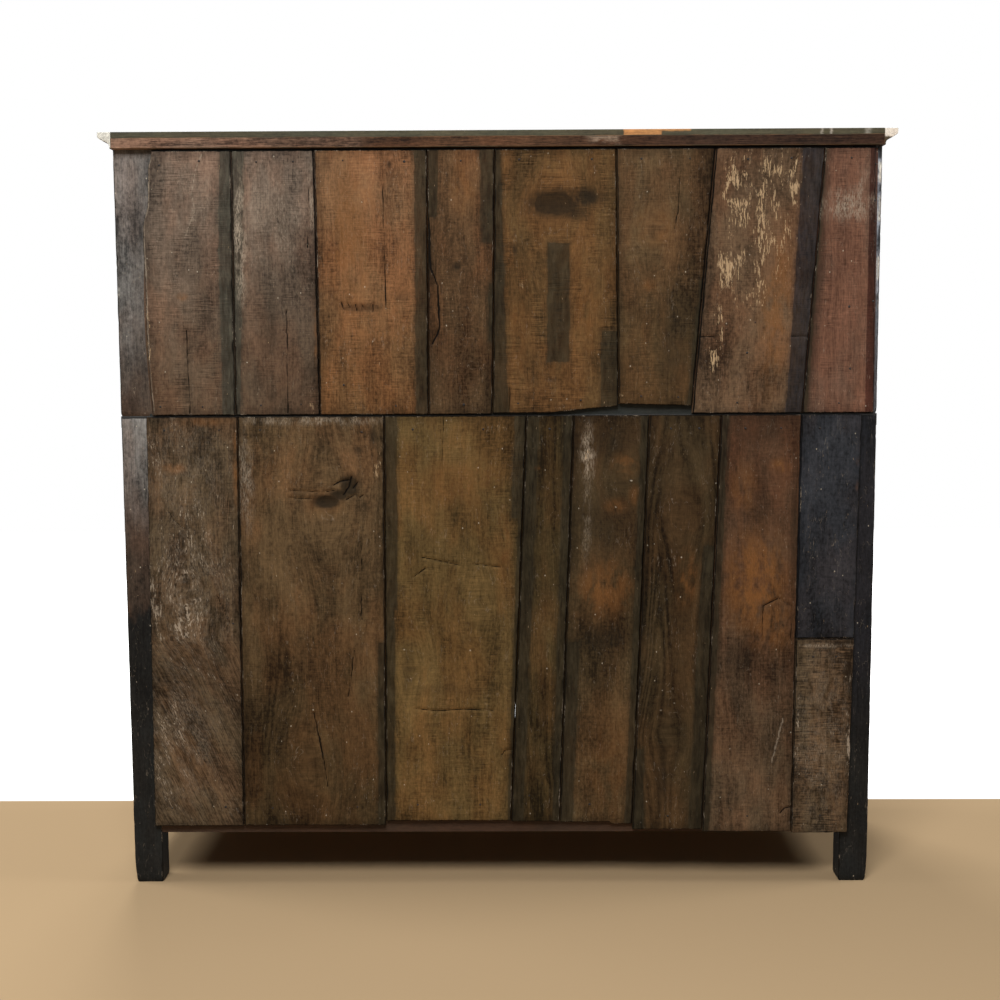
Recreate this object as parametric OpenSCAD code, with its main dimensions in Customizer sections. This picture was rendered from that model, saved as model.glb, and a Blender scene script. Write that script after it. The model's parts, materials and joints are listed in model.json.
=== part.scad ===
// Court cupboard in two stages. The front faces -Y, the nailed back boards face +Y, and +Z is up.
// The origin lies on the floor under the middle of the cupboard. Sizes are in millimetres.

/* [Case] */
// Width of the case over its side frames
case_w = 1600; // [1400:10:1800]
// Depth of the joined frame from its front face to its rear face
case_d = 515; // [460:5:580]
// Height of the lower stage with its ledge boards
waist_h = 1020; // [960:5:1080]
// Height of the upper stage under its top boards
upper_h = 576; // [550:2:630]
// Height of the feet under the bottom rails
foot_h = 112; // [80:2:140]

/* [Frame members] */
// Width of a lower front stile
front_stile_w = 75; // [66:1:84]
// Width of every rear stile and of an upper front stile
rear_stile_w = 62; // [58:1:70]
// Depth of a lower stile and of every rear stile
stile_d = 55; // [50:1:62]
// Depth of an upper front stile
upper_stile_d = 45; // [43:1:52]
// Thickness of front rails, rear rails and muntins
rail_t = 30; // [26:1:34]
// Thickness of the side rails
side_t = 28; // [26:1:32]
// Height of the lower bottom rails
bottom_rail_h = 90; // [80:1:110]
// Height of the rail between doors and drawers
drawer_rail_h = 45; // [42:1:56]
// Height of the lower top rails
top_rail_h = 60; // [50:1:70]
// Height of the lower stage's rear top rail
rear_rail_h = 140; // [136:1:160]
// Height of the upper stage's bottom rails
upper_bottom_rail_h = 50; // [44:1:60]
// Height of the upper stage's rear top rail
upper_rear_rail_h = 88; // [70:1:100]
// Width of the fixed muntin between the lower doors
door_gap_muntin_w = 70; // [50:1:90]
// Width of a muntin between two drawers
drawer_muntin_w = 40; // [36:1:50]
// Width of a muntin in the upper front
upper_muntin_w = 60; // [50:1:70]
// Width of the muntin in a lower side frame
side_muntin_w = 56; // [50:1:70]
// Width of the fixed centre panel in the upper front
centre_panel_w = 400; // [320:5:460]

/* [Joints] */
// Thickness of a tenon
tenon_t = 10; // [8:0.5:10]
// Length of a tenon into a stile
tenon_l = 38; // [30:1:40]
// Length of a muntin's tenon and of the side tenons in the upper front stiles
short_tenon_l = 20; // [14:1:21]
// Height left off a tenon at each shoulder
shoulder = 12; // [12:0.5:13]
// Thickness of a panel at its tongue
tongue_t = 8; // [6:0.5:8]
// Depth of a panel's tongue in its groove
tongue_l = 10; // [8:0.5:11]
// Clearance round a tenon or a tongue
fit_gap = 0.2; // [0.1:0.05:0.4]

/* [Mouldings] */
// Distance between the two hollows along a front member
channel_pitch = 15; // [12:0.5:18]
// Depth of a hollow
channel_depth = 1.6; // [1:0.1:2]
// Radius of the cutter that runs a hollow
channel_r = 4.5; // [3.5:0.5:5.5]

/* [Panels] */
// Height of a panel's raised field over its tongue
field_rise = 6; // [4:0.5:8]
// Width of the bevel round a raised field
field_bevel = 26; // [16:1:32]
// Flat border between a frame and the bevel
field_margin = 6; // [3:1:12]

/* [Drawers] */
// Height of the drawer openings
drawer_h = 125; // [118:1:134]
// Thickness of a drawer front
drawer_front_t = 22; // [20:1:26]
// Thickness of drawer sides and backs
drawer_side_t = 13; // [12:0.5:16]
// Thickness of a drawer bottom
drawer_bottom_t = 8; // [6:0.5:10]
// Height of a drawer runner
runner_h = 14; // [12:1:16]
// How far a runner reaches into the groove of a drawer side
runner_in = 6; // [4:0.5:6.5]

/* [Doors] */
// Thickness of the doors
door_t = 25; // [23:1:28]
// Width of a door stile
door_stile_w = 60; // [54:1:72]
// Height of a door's top rail
door_top_rail_h = 58; // [50:1:70]
// Height of a door's bottom rail
door_bottom_rail_h = 70; // [56:1:84]
// Width of a lower door's muntin
door_muntin_w = 56; // [44:1:70]
// Gap round doors and drawer fronts
door_gap = 1.5; // [1.2:0.1:2.5]
// Distance from a door's end to the middle of its nearest hinge
hinge_inset = 95; // [60:5:110]
// Length of a knob in front of its face
knob_l = 34; // [28:1:42]
// Radius of a knob's head
knob_r = 16; // [13:0.5:19]

/* [Hinges] */
// Radius of a hinge knuckle
knuckle_r = 4.5; // [4:0.1:4.8]
// Length of one of the three knuckles
knuckle_l = 10; // [8:0.5:14]
// Radius of a hinge pin
pin_r = 2; // [1.5:0.1:2.5]
// Thickness of a hinge leaf
leaf_t = 2.5; // [1.5:0.1:3]
// Reach of a leaf from the hinge axis
leaf_w = 34; // [28:1:42]
// Height of a leaf at its flared end
leaf_h = 66; // [50:2:80]

/* [Upper stage] */
// Distance of the upper front behind the lower front
recess = 140; // [125:1:170]
// Height of the frieze
frieze_h = 143; // [130:1:160]
// Height of the upper front's top rail under the frieze
under_frieze_h = 45; // [38:1:56]
// Side of a square corner post
post_w = 64; // [60:1:72]
// Length of a corner post under the frieze
post_drop = 15; // [10:1:30]
// Length of a turned pendant
pendant_l = 128; // [110:1:150]
// Greatest radius of a pendant
pendant_r = 28; // [22:0.5:28]
// Radius of a pendant's dowel
dowel_r = 9; // [6:0.5:9.5]
// Thickness of the soffit board
soffit_t = 12; // [10:0.5:14]
// Height of the cornice moulding
cornice_h = 34; // [28:1:44]
// Projection of the cornice moulding
cornice_out = 28; // [24:1:36]

/* [Boards] */
// Thickness of the back boards
board_t = 14; // [12:0.5:18]
// Gap between neighbouring boards
board_gap = 2; // [1:0.25:3]
// Height of the strip along the top of the back
strip_h = 22; // [18:1:30]
// How far the strip stands proud of the back boards
strip_proud = 3; // [1:0.5:6]
// Gap between the strip and the tops of the back boards
strip_gap = 5; // [2:0.5:8]
// Bulge of the waney edge on the first upper board
waney_bulge = 20; // [0:1:24]
// Thickness of the ledge boards
ledge_t = 25; // [20:1:30]
// Projection of the ledge's moulded front edge
ledge_out = 12; // [8:1:20]
// Thickness of the top boards
top_t = 12; // [10:0.5:18]
// Thickness of the floor boards
floor_t = 15; // [12:0.5:18]
// Distance from the top of the floor boards to the top of the bottom rails
floor_drop = 20; // [14:1:26]
// Thickness of the shelf
shelf_t = 18; // [14:1:24]
// Height of the shelf over the floor boards
shelf_rise = 290; // [220:5:340]
// Number of floor boards
floor_boards = 7; // [5:1:9]
// Number of boards across the top, the ledge and the shelf
long_boards = 3; // [2:1:4]

/* [Hidden] */
$fn = 64;
// The smallest overlap that counts as one piece entering another
slip = 0.01;
run_gap = 0.05;
seat_gap = 0.3;
// Gap at a shoulder or a butt joint, where one piece meets another in the same group
close_gap = 0.1;
notch_gap = 0.5;
knuckle_gap = 0.25;
// How far a cutter passes the faces that it opens
cut_over = 1;
// How far floor and soffit boards reach into the grooves of their rails
board_tongue = 8;
// Distance of a drawer side behind the end of its front
side_set = 1;
groove_slack = 0.5;
// Lap of a drawer side behind the face of its front
front_lap = 12;
// Distance from the back of a drawer to the rear frame
drawer_back_gap = 11;
// How far drawer sides and backs stay under the top of the front
drawer_side_drop = 6;
// Where a drawer's two knobs sit, as a share of its width
knob_share = 0.25;
runner_tenon = 12;
runner_shoulder = 2;
shelf_gap = 1;
bearer_w = 20;
bearer_h = 26;
soffit_up = 12;
// Ledge nose: lip over the half round, radius of the cove under it
ledge_lip = 4;
ledge_cove_r = 8;
// Pendant: heights of its fillet, cove and collar, radii of its bead and ring, and how far the
// collar and the ring stand out from the neck
pendant_fillet_h = 6;
pendant_cove_h = 20;
pendant_cove_lip = 2;
pendant_collar_h = 8;
pendant_collar_out = 6;
pendant_bead_r = 3;
pendant_ring_r = 4;
pendant_ring_out = 3;
// Pendant radii as shares of the bulb's, and the bulb's place as a share of the length
pendant_head_share = 0.92;
pendant_neck_share = 0.45;
pendant_stem_share = 0.72;
pendant_bulb_share = 0.46;
// Cornice: its nose as a share of its height, its step as a share of its projection
cornice_nose_share = 0.42;
cornice_step_share = 0.68;
cornice_fillet = 3;
// How far the returns and the top boards stay before the face of the rear strip
return_set = 4;
top_set = 2;
knob_dowel_r = 6;
knob_dowel_l = 18;
pendant_dowel_l = 36;
// Distance of the hinge axis in front of the door's face
axis_out = knuckle_r + notch_gap;
pin_head_r = 3.4;
pin_head_t = 2;
// How far a pin passes its lowest knuckle
pin_foot = 2;
// Where a leaf starts beside the hinge axis
leaf_root = 4;
// Hollow in a leaf's flared end: its centre beyond the end and its radius, as shares of leaf_h
leaf_hollow_share = 0.2;
leaf_hollow_r_share = 0.32;
// Knob: radius of its foot and of its neck as shares of its head's, thickness of its foot, and
// the middle and the back of its head as shares of its length
knob_foot_share = 0.7;
knob_neck_share = 0.55;
knob_foot_t = 3;
knob_back_share = 0.34;
knob_dome_share = 0.75;

// Heights
z_door = foot_h + bottom_rail_h;
z_ledge = waist_h - ledge_t;
z_top_rail = z_ledge - top_rail_h;
z_drawer = z_top_rail - drawer_h;
z_drawer_rail = z_drawer - drawer_rail_h;
z_floor = z_door - floor_drop;
z_shelf = z_floor + shelf_rise;
z_top = waist_h + upper_h;
z_frieze = z_top - frieze_h;
z_soffit = z_frieze + soffit_up;
z_upper_door = waist_h + upper_bottom_rail_h;
z_upper_rail = z_frieze - under_frieze_h;
z_post = z_frieze - post_drop;
z_runner = z_drawer + (drawer_h - runner_h) / 2;

// Widths and depths
half_w = case_w / 2;
strip_t = board_t + strip_proud;
front_out = max(cornice_out, knob_l);
overall_d = case_d + front_out + strip_t;
y_back = overall_d / 2;
y_frame = y_back - strip_t;
y_face = y_frame - case_d;
y_recess = y_face + recess;
front_x = half_w - front_stile_w;
rear_x = half_w - rear_stile_w;
side_x = half_w - side_t;
post_x = half_w - post_w;
drawer_w = (2 * front_x - 2 * drawer_muntin_w) / 3;
drawer_x = drawer_w + drawer_muntin_w;
drawer_muntin_x = drawer_x / 2;
drawer_l = case_d - rail_t - drawer_back_gap;
lower_door_w = front_x - door_gap_muntin_w / 2 - 2 * door_gap;
lower_door_h = z_drawer_rail - z_door - 2 * door_gap;
upper_muntin_x = (centre_panel_w + upper_muntin_w) / 2;
upper_door_w = rear_x - upper_muntin_x - upper_muntin_w / 2 - 2 * door_gap;
upper_door_h = z_upper_rail - z_upper_door - 2 * door_gap;

// Where each seam of the back stands, as a share of the half width, at its top and at its foot
upper_seam_shares = [
    [0.891, 0.915], [0.689, 0.693], [0.474, 0.469], [0.181, 0.183], [0.006, 0.015],
    [-0.309, -0.318], [-0.566, -0.510], [-0.848, -0.800], [-0.988, -0.991]];
lower_seam_shares = [
    [0.931, 0.940], [0.688, 0.695], [0.301, 0.309], [-0.075, -0.029], [-0.199, -0.161],
    [-0.399, -0.358], [-0.588, -0.548], [-0.799, -0.789], [-0.959, -0.943]];
// How far the foot of each board stands over the underside of its stage
upper_feet = [2, 2, 2, 2, 2, 18, 2, 2];
lower_feet = [18, 19, 28, 26, 20, 8, 3, 2];
// Thickness that each board lacks
upper_thin = [0, 2, 1, 0, 2, 1, 0, 3];
lower_thin = [1, 0, 2, 1, 3, 1, 0, 2];
patch_thin = 1;
// Height of the joint in the last lower board, as a share of the lower stage
patch_share = 0.52;

OAK = [0.34, 0.24, 0.16];
OAK_DARK = [0.20, 0.15, 0.12];
OAK_BLACK = [0.13, 0.13, 0.14];
OAK_RED = [0.38, 0.25, 0.18];
IRON = [0.16, 0.16, 0.17];
BOARD_TONES = [[0.36, 0.27, 0.23], [0.33, 0.27, 0.24], [0.50, 0.31, 0.18], [0.40, 0.27, 0.19],
               [0.44, 0.33, 0.19], [0.33, 0.26, 0.18], [0.37, 0.30, 0.22], [0.44, 0.29, 0.22]];

// Boxes as pairs of corners
function box(x0, y0, z0, x1, y1, z1) = [[x0, y0, z0], [x1, y1, z1]];
function grown(b, g) = [b[0] - [g, g, g], b[1] + [g, g, g]];
function overlap(a, b, i) = min(a[1][i], b[1][i]) - max(a[0][i], b[0][i]);
function meets(a, b) = min([for (i = [0:2]) overlap(a, b, i)]) > slip;
function mirrored(b) = [[-b[1].x, b[0].y, b[0].z], [-b[0].x, b[1].y, b[1].z]];

// A tenon at the low (end 0) or high (end 1) end of a member that runs along axis a
function across(a) = [for (i = [0:2]) if (i != a) i];
function thin_axis(s, a) = let (o = across(a)) s[o[0]] < s[o[1]] ? o[0] : o[1];
function tenon(b, a, end, l) = let (thin = thin_axis(b[1] - b[0], a))
    [for (k = [0, 1]) [for (i = [0:2])
        i == a ? (end == 0 ? b[0][a] - l * (1 - k) : b[1][a] + l * k) :
        i == thin ? (b[0][i] + b[1][i]) / 2 + (k - 0.5) * tenon_t :
        b[k][i] + (1 - 2 * k) * shoulder]];
// The same tenon as a bar that runs through the member from end to end
function tenon_bar(b, a, l) = let (low = tenon(b, a, 0, l), high = tenon(b, a, 1, l))
    [low[0], high[1]];
function inset_ends(b, a, g) = [for (k = [0, 1]) [for (i = [0:2])
    b[k][i] + (i == a ? (1 - 2 * k) * g : 0)]];
function tenons(members, a, l) = [for (b = members) for (end = [0, 1]) tenon(b, a, end, l)];

// The tongued plate of a panel that fills an opening whose thickness lies along axis a
function plate(b, a) = [for (k = [0, 1]) [for (i = [0:2])
    i == a ? (b[0][i] + b[1][i]) / 2 + (k - 0.5) * tongue_t : b[k][i] + (2 * k - 1) * tongue_l]];
function plates(openings, a) = [for (b = openings) plate(b, a)];

module block(b) translate(b[0]) cube(b[1] - b[0]);

// A piece cut by every tenon or tongue that enters it
module cut_for(b, cuts) difference() {
    children();
    for (c = cuts) if (meets(c, b)) block(grown(c, fit_gap));
}

module stile(b, cuts) cut_for(b, cuts) block(b);

module rail(b, a, l, cuts) cut_for(b, cuts) {
    block(inset_ends(b, a, close_gap));
    block(tenon_bar(b, a, l));
}

module rails(members, a, l, cuts) for (b = members) rail(b, a, l, cuts);

// Two hollows along the front face of a member that runs along axis a
module channelled(b, a) difference() {
    children();
    for (s = [-1, 1]) channel(b, a, s * channel_pitch / 2);
}

module channel(b, a, off) {
    out = channel_r - channel_depth;
    mid = (b[0] + b[1]) / 2;
    l = b[1][a] - b[0][a] + 2 * cut_over;
    if (a == 0) translate([b[0].x - cut_over, b[0].y - out, mid.z + off]) rotate([0, 90, 0])
        cylinder(h = l, r = channel_r);
    else translate([mid.x + off, b[0].y - out, b[0].z - cut_over]) cylinder(h = l, r = channel_r);
}

module front_stile(b, cuts) channelled(b, 2) stile(b, cuts);
module front_rails(members, a, l, cuts) for (b = members) channelled(b, a) rail(b, a, l, cuts);

module both_sides() {
    children();
    mirror([1, 0, 0]) children();
}

module on_side(side) {
    if (side > 0) mirror([1, 0, 0]) children();
    else children();
}

// A profile drawn in Y and Z, run along X
module run_x(x0, x1) translate([x0, 0, 0]) rotate([90, 0, 90]) linear_extrude(x1 - x0) children();
// A profile drawn in X and Z, run along Y
module run_y(y0, y1) translate([0, y1, 0]) rotate([90, 0, 0]) linear_extrude(y1 - y0) children();

// A panel that stands in XZ with its raised field towards -Y, from the low corner of its opening
module fielded_panel(w, h) {
    translate([-tongue_l, 0, -tongue_l]) cube([w + 2 * tongue_l, tongue_t, h + 2 * tongue_l]);
    intersection() {
        linear_extrude(h) field_section(w);
        translate([w, 0, 0]) rotate([0, -90, 0]) linear_extrude(w) field_section(h);
    }
}

module field_section(l) polygon([
    [field_margin, slip], [l - field_margin, slip], [l - field_margin, 0],
    [l - field_margin - field_bevel, -field_rise], [field_margin + field_bevel, -field_rise],
    [field_margin, 0]]);

// A panel in the opening b of a front frame
module front_panel(b)
    translate([b[0].x, (b[0].y + b[1].y - tongue_t) / 2, b[0].z])
        fielded_panel(b[1].x - b[0].x, b[1].z - b[0].z);

// A panel in the opening b of the right side frame, with its field outwards
module side_panel(b)
    translate([(b[0].x + b[1].x + tongue_t) / 2, b[0].y, b[0].z]) rotate([0, 0, 90])
        fielded_panel(b[1].y - b[0].y, b[1].z - b[0].z);

// Lower stage: the right side stands for both
function lower_front_rail(z0, z1) = box(-front_x, y_face, z0, front_x, y_face + rail_t, z1);
LOWER_FRONT_RAILS = [lower_front_rail(foot_h, z_door), lower_front_rail(z_drawer_rail, z_drawer),
                     lower_front_rail(z_top_rail, z_ledge)];
function front_muntin(x, w, z0, z1) = box(x - w / 2, y_face, z0, x + w / 2, y_face + rail_t, z1);
LOWER_MUNTINS = concat(
    [front_muntin(0, door_gap_muntin_w, z_door, z_drawer_rail)],
    [for (s = [-1, 1]) front_muntin(s * drawer_muntin_x, drawer_muntin_w, z_drawer, z_top_rail)]);
function rear_rail(z0, z1) = box(-rear_x, y_frame - rail_t, z0, rear_x, y_frame, z1);
LOWER_REAR_RAILS = [rear_rail(foot_h, z_door), rear_rail(z_ledge - rear_rail_h, z_ledge)];
FRONT_STILE = box(front_x, y_face, 0, half_w, y_face + stile_d, z_ledge);
REAR_STILE = box(rear_x, y_frame - stile_d, 0, half_w, y_frame, z_ledge);
side_y0 = y_face + stile_d;
side_y1 = y_frame - stile_d;
side_mid = (side_y0 + side_y1) / 2;
function side_member(y0, y1, z0, z1) = box(side_x, y0, z0, half_w, y1, z1);
LOWER_SIDE_RAILS = [for (z = [[foot_h, z_door], [z_drawer_rail, z_drawer], [z_top_rail, z_ledge]])
    side_member(side_y0, side_y1, z[0], z[1])];
SIDE_MUNTIN = side_member(side_mid - side_muntin_w / 2, side_mid + side_muntin_w / 2,
                          z_door, z_drawer_rail);
LOWER_SIDE_OPENINGS = [
    side_member(side_y0, SIDE_MUNTIN[0].y, z_door, z_drawer_rail),
    side_member(SIDE_MUNTIN[1].y, side_y1, z_door, z_drawer_rail),
    side_member(side_y0, side_y1, z_drawer, z_top_rail)];
FLOOR = box(-side_x - board_tongue, y_face + rail_t - board_tongue, z_floor - floor_t,
            side_x + board_tongue, y_frame - rail_t + board_tongue, z_floor);

// Runners of the drawers: each is tenoned into what stands before and behind it
runner_edge = door_gap + side_set + runner_in;
function runner(x0, x1, y0, y1) = box(x0, y0, z_runner, x1, y1, z_runner + runner_h);
function runner_tenons(x, b) = [for (y = [b[0].y - runner_tenon, b[1].y])
    box(x - runner_tenon / 2, y, z_runner + runner_shoulder, x + runner_tenon / 2,
        y + runner_tenon, z_runner + runner_h - runner_shoulder)];
side_runner_x = rear_x + runner_tenon;
SIDE_RUNNER = runner(front_x - runner_edge, side_runner_x + runner_tenon, side_y0, side_y1);
MIDDLE_RUNNER = runner(drawer_muntin_x - drawer_muntin_w / 2 - runner_edge,
                       drawer_muntin_x + drawer_muntin_w / 2 + runner_edge,
                       y_face + rail_t, y_frame - rail_t);
RUNNER_TENONS = concat(runner_tenons(side_runner_x, SIDE_RUNNER),
                       runner_tenons(drawer_muntin_x, MIDDLE_RUNNER));

LOWER_CUTS = concat(
    tenons(concat(LOWER_FRONT_RAILS, LOWER_REAR_RAILS), 0, tenon_l),
    tenons(LOWER_SIDE_RAILS, 1, tenon_l),
    tenons(concat(LOWER_MUNTINS, [SIDE_MUNTIN]), 2, short_tenon_l),
    plates(LOWER_SIDE_OPENINGS, 0),
    RUNNER_TENONS, [for (b = RUNNER_TENONS) mirrored(b)]);

module rear_stile_right() color(OAK_BLACK) stile(REAR_STILE, LOWER_CUTS);
module rear_stile_left() color(OAK_BLACK) mirror([1, 0, 0]) stile(REAR_STILE, LOWER_CUTS);
module front_stile_right() color(OAK_DARK) front_stile(FRONT_STILE, LOWER_CUTS);
module front_stile_left() color(OAK_DARK) mirror([1, 0, 0]) front_stile(FRONT_STILE, LOWER_CUTS);

module lower_front_rails() color(OAK)
    front_rails(LOWER_FRONT_RAILS, 0, tenon_l, concat(LOWER_CUTS, [FLOOR]));
module lower_muntins() color(OAK) front_rails(LOWER_MUNTINS, 2, short_tenon_l, LOWER_CUTS);
module lower_rear_rails() color(OAK_RED)
    rails(LOWER_REAR_RAILS, 0, tenon_l, concat(LOWER_CUTS, [FLOOR]));

module lower_side_rails() color(OAK_DARK) both_sides() {
    rails(LOWER_SIDE_RAILS, 1, tenon_l, concat(LOWER_CUTS, [FLOOR]));
    rail(SIDE_MUNTIN, 2, short_tenon_l, LOWER_CUTS);
}

module lower_side_panels() color(OAK) both_sides() for (b = LOWER_SIDE_OPENINGS) side_panel(b);

// One of n equal boards that fill b along axis a, with a gap between neighbours
function share(b, a, i, n) = let (pitch = (b[1][a] - b[0][a] + board_gap) / n)
    [for (k = [0, 1]) [for (j = [0:2]) j != a ? b[k][j] :
        b[0][a] + (i + k) * pitch - k * board_gap]];

module floor_boards() color(OAK) for (i = [0:floor_boards - 1]) {
    board = share(FLOOR, 0, i, floor_boards);
    difference() {
        block(board);
        for (s = [FRONT_STILE, REAR_STILE]) for (b = [s, mirrored(s)])
            if (meets(b, board)) block(grown(b, notch_gap));
    }
}

SHELF = box(-side_x + shelf_gap, side_y0 + shelf_gap, z_shelf - shelf_t,
            side_x - shelf_gap, side_y1 - shelf_gap, z_shelf);

module shelf() color(OAK) {
    for (i = [0:long_boards - 1]) block(share(SHELF, 1, i, long_boards));
    both_sides() block(box(side_x - bearer_w, side_y0, z_shelf - shelf_t - bearer_h,
                           side_x, side_y1, z_shelf - shelf_t - close_gap));
}

module drawer_runners() color(OAK) both_sides() {
    for (b = concat([SIDE_RUNNER], runner_tenons(side_runner_x, SIDE_RUNNER))) block(b);
    for (b = concat([MIDDLE_RUNNER], runner_tenons(drawer_muntin_x, MIDDLE_RUNNER))) block(b);
}

LEDGE = box(-half_w, y_face, z_ledge, half_w, y_frame, waist_h);

// Front edge of the ledge: a half round nose over a small cove
module ledge_nose() {
    nose_r = ledge_out / 2;
    nose_z = ledge_t - nose_r - ledge_lip;
    difference() {
        union() {
            translate([-nose_r, 0]) square([nose_r, ledge_t]);
            translate([-nose_r, nose_z]) circle(nose_r);
        }
        translate([-ledge_out, 0]) circle(ledge_cove_r);
    }
}

module ledge_boards() color(OAK) {
    for (i = [1:long_boards - 1]) block(share(LEDGE, 1, i, long_boards));
    block(share(LEDGE, 1, 0, long_boards));
    translate([0, y_face, z_ledge]) run_x(-half_w, half_w) ledge_nose();
}

// Upper stage
UPPER_REAR_STILE = box(rear_x, y_frame - stile_d, waist_h, half_w, y_frame, z_top);
UPPER_FRONT_STILE = box(rear_x, y_recess, waist_h, half_w, y_recess + upper_stile_d, z_top);
POST = box(post_x, y_face, z_post, half_w, y_face + post_w, z_top);
function upper_front_member(x0, x1, z0, z1) = box(x0, y_recess, z0, x1, y_recess + rail_t, z1);
UPPER_FRONT_RAILS = [
    upper_front_member(-rear_x, rear_x, waist_h, z_upper_door),
    upper_front_member(-rear_x, rear_x, z_upper_rail, z_soffit + soffit_t + board_tongue)];
UPPER_MUNTINS = [for (s = [-1, 1]) upper_front_member(
    s * upper_muntin_x - upper_muntin_w / 2, s * upper_muntin_x + upper_muntin_w / 2,
    z_upper_door, z_upper_rail)];
CENTRE_OPENING = upper_front_member(-centre_panel_w / 2, centre_panel_w / 2,
                                    z_upper_door, z_upper_rail);
UPPER_REAR_RAILS = [rear_rail(waist_h, z_upper_door), rear_rail(z_top - upper_rear_rail_h, z_top)];
upper_y0 = y_recess + upper_stile_d;
UPPER_SIDE_RAILS = [side_member(upper_y0, side_y1, waist_h, z_upper_door),
                    side_member(upper_y0, side_y1, z_frieze, z_top),
                    side_member(y_face + post_w, y_recess, z_frieze, z_top)];
UPPER_SIDE_OPENING = side_member(upper_y0, side_y1, z_upper_door, z_frieze);
FRIEZE = box(-post_x, y_face, z_frieze, post_x, y_face + rail_t, z_top);
SOFFIT = box(-side_x - board_tongue, y_face + rail_t - board_tongue, z_soffit,
             side_x + board_tongue, y_recess + board_tongue, z_soffit + soffit_t);

UPPER_CUTS = concat(
    tenons(concat(UPPER_FRONT_RAILS, UPPER_REAR_RAILS, [FRIEZE]), 0, tenon_l),
    tenons(UPPER_SIDE_RAILS, 1, short_tenon_l),
    tenons(UPPER_MUNTINS, 2, short_tenon_l),
    plates([UPPER_SIDE_OPENING], 0), plates([CENTRE_OPENING], 1));

module upper_rear_stiles() color(OAK_BLACK) both_sides() stile(UPPER_REAR_STILE, UPPER_CUTS);
module upper_front_stiles() color(OAK_DARK) both_sides() stile(UPPER_FRONT_STILE, UPPER_CUTS);

module upper_front_frame() color(OAK) {
    front_rails(UPPER_FRONT_RAILS, 0, tenon_l, concat(UPPER_CUTS, [SOFFIT]));
    front_rails(UPPER_MUNTINS, 2, short_tenon_l, UPPER_CUTS);
}

module centre_panel() color(OAK) front_panel(CENTRE_OPENING);
module upper_rear_rails() color(OAK_RED) rails(UPPER_REAR_RAILS, 0, tenon_l, UPPER_CUTS);
module upper_side_rails() color(OAK_DARK) both_sides()
    rails(UPPER_SIDE_RAILS, 1, short_tenon_l, concat(UPPER_CUTS, [SOFFIT]));
module upper_side_panels() color(OAK) both_sides() side_panel(UPPER_SIDE_OPENING);
module frieze_rail() color(OAK) rail(FRIEZE, 0, tenon_l, concat(UPPER_CUTS, [SOFFIT]));

module soffit_board() color(OAK) difference() {
    block(SOFFIT);
    for (s = [POST, UPPER_FRONT_STILE]) for (b = [s, mirrored(s)]) block(grown(b, notch_gap));
}

module at_post(z) translate([half_w - post_w / 2, y_face + post_w / 2, z]) children();

module corner_posts() color(OAK_DARK) both_sides() difference() {
    stile(POST, UPPER_CUTS);
    at_post(z_post - cut_over)
        cylinder(h = pendant_dowel_l + 2 * cut_over, r = dowel_r + run_gap);
}

// Half of a turned outline: discs and tori over z, drawn to the right of the axis
module half_plane(z0, z1) intersection() {
    children();
    translate([0, z0]) square([pendant_r * 2, z1 - z0]);
}

// Pendant below z 0: fillet, cove, bead, bulb, ring and drop finial
module pendant_outline() {
    head = pendant_r * pendant_head_share;
    neck = pendant_r * pendant_neck_share;
    cove_r = head + pendant_cove_lip - neck;
    cove_z = -pendant_fillet_h - pendant_cove_h;
    collar_z = cove_z - pendant_collar_h;
    bulb_z = -pendant_l * pendant_bulb_share;
    ring_z = bulb_z - pendant_r;
    drop_z = neck - pendant_l;
    half_plane(-pendant_l, 0) union() {
        translate([0, -pendant_fillet_h]) square([head, pendant_fillet_h]);
        difference() {
            translate([0, cove_z]) square([head, pendant_cove_h]);
            translate([head + pendant_cove_lip, cove_z + cove_r / 2]) circle(cove_r);
        }
        translate([0, collar_z]) square([neck + pendant_collar_out, pendant_collar_h]);
        translate([neck + pendant_collar_out, collar_z + pendant_bead_r]) circle(pendant_bead_r);
        translate([0, bulb_z]) circle(pendant_r);
        translate([0, ring_z - pendant_ring_r])
            square([neck + pendant_ring_out, 2 * pendant_ring_r]);
        translate([neck + pendant_ring_out, ring_z]) circle(pendant_ring_r);
        translate([0, drop_z]) circle(neck);
        translate([0, drop_z]) square([neck * pendant_stem_share, ring_z - drop_z]);
    }
}

module pendants() color(OAK_DARK) both_sides() at_post(z_post) {
    rotate_extrude() pendant_outline();
    cylinder(h = pendant_dowel_l, r = dowel_r);
}

TOP = box(-half_w, y_face, z_top, half_w, y_back - top_set, z_top + top_t);
module top_boards() color(OAK_DARK)
    for (i = [0:long_boards - 1]) block(share(TOP, 1, i, long_boards));

// Cornice section: fillet, cove, step and round nose, projecting along +X from the case
module cornice_section() {
    nose_h = cornice_h * cornice_nose_share;
    nose_r = nose_h / 2;
    step = cornice_out * cornice_step_share;
    under_nose = cornice_h - nose_h;
    translate([0, under_nose]) square([cornice_out - nose_r, nose_h]);
    translate([cornice_out - nose_r, cornice_h - nose_r]) circle(nose_r);
    translate([cornice_out - nose_r, cornice_h - nose_r]) square(nose_r);
    difference() {
        square([step, under_nose]);
        translate([step + slip, 0]) circle(under_nose - cornice_fillet);
    }
    square([cornice_fillet, under_nose]);
}

z_cornice = z_top + top_t - cornice_h;

module cornice_front() color(OAK_BLACK) intersection() {
    translate([0, y_face, z_cornice]) run_x(-half_w - cornice_out, half_w + cornice_out)
        mirror([1, 0]) cornice_section();
    translate([0, 0, z_cornice]) linear_extrude(cornice_h) polygon([
        [-half_w, y_face], [half_w, y_face],
        [half_w + cornice_out, y_face - cornice_out], [-half_w - cornice_out, y_face - cornice_out]]);
}

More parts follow.
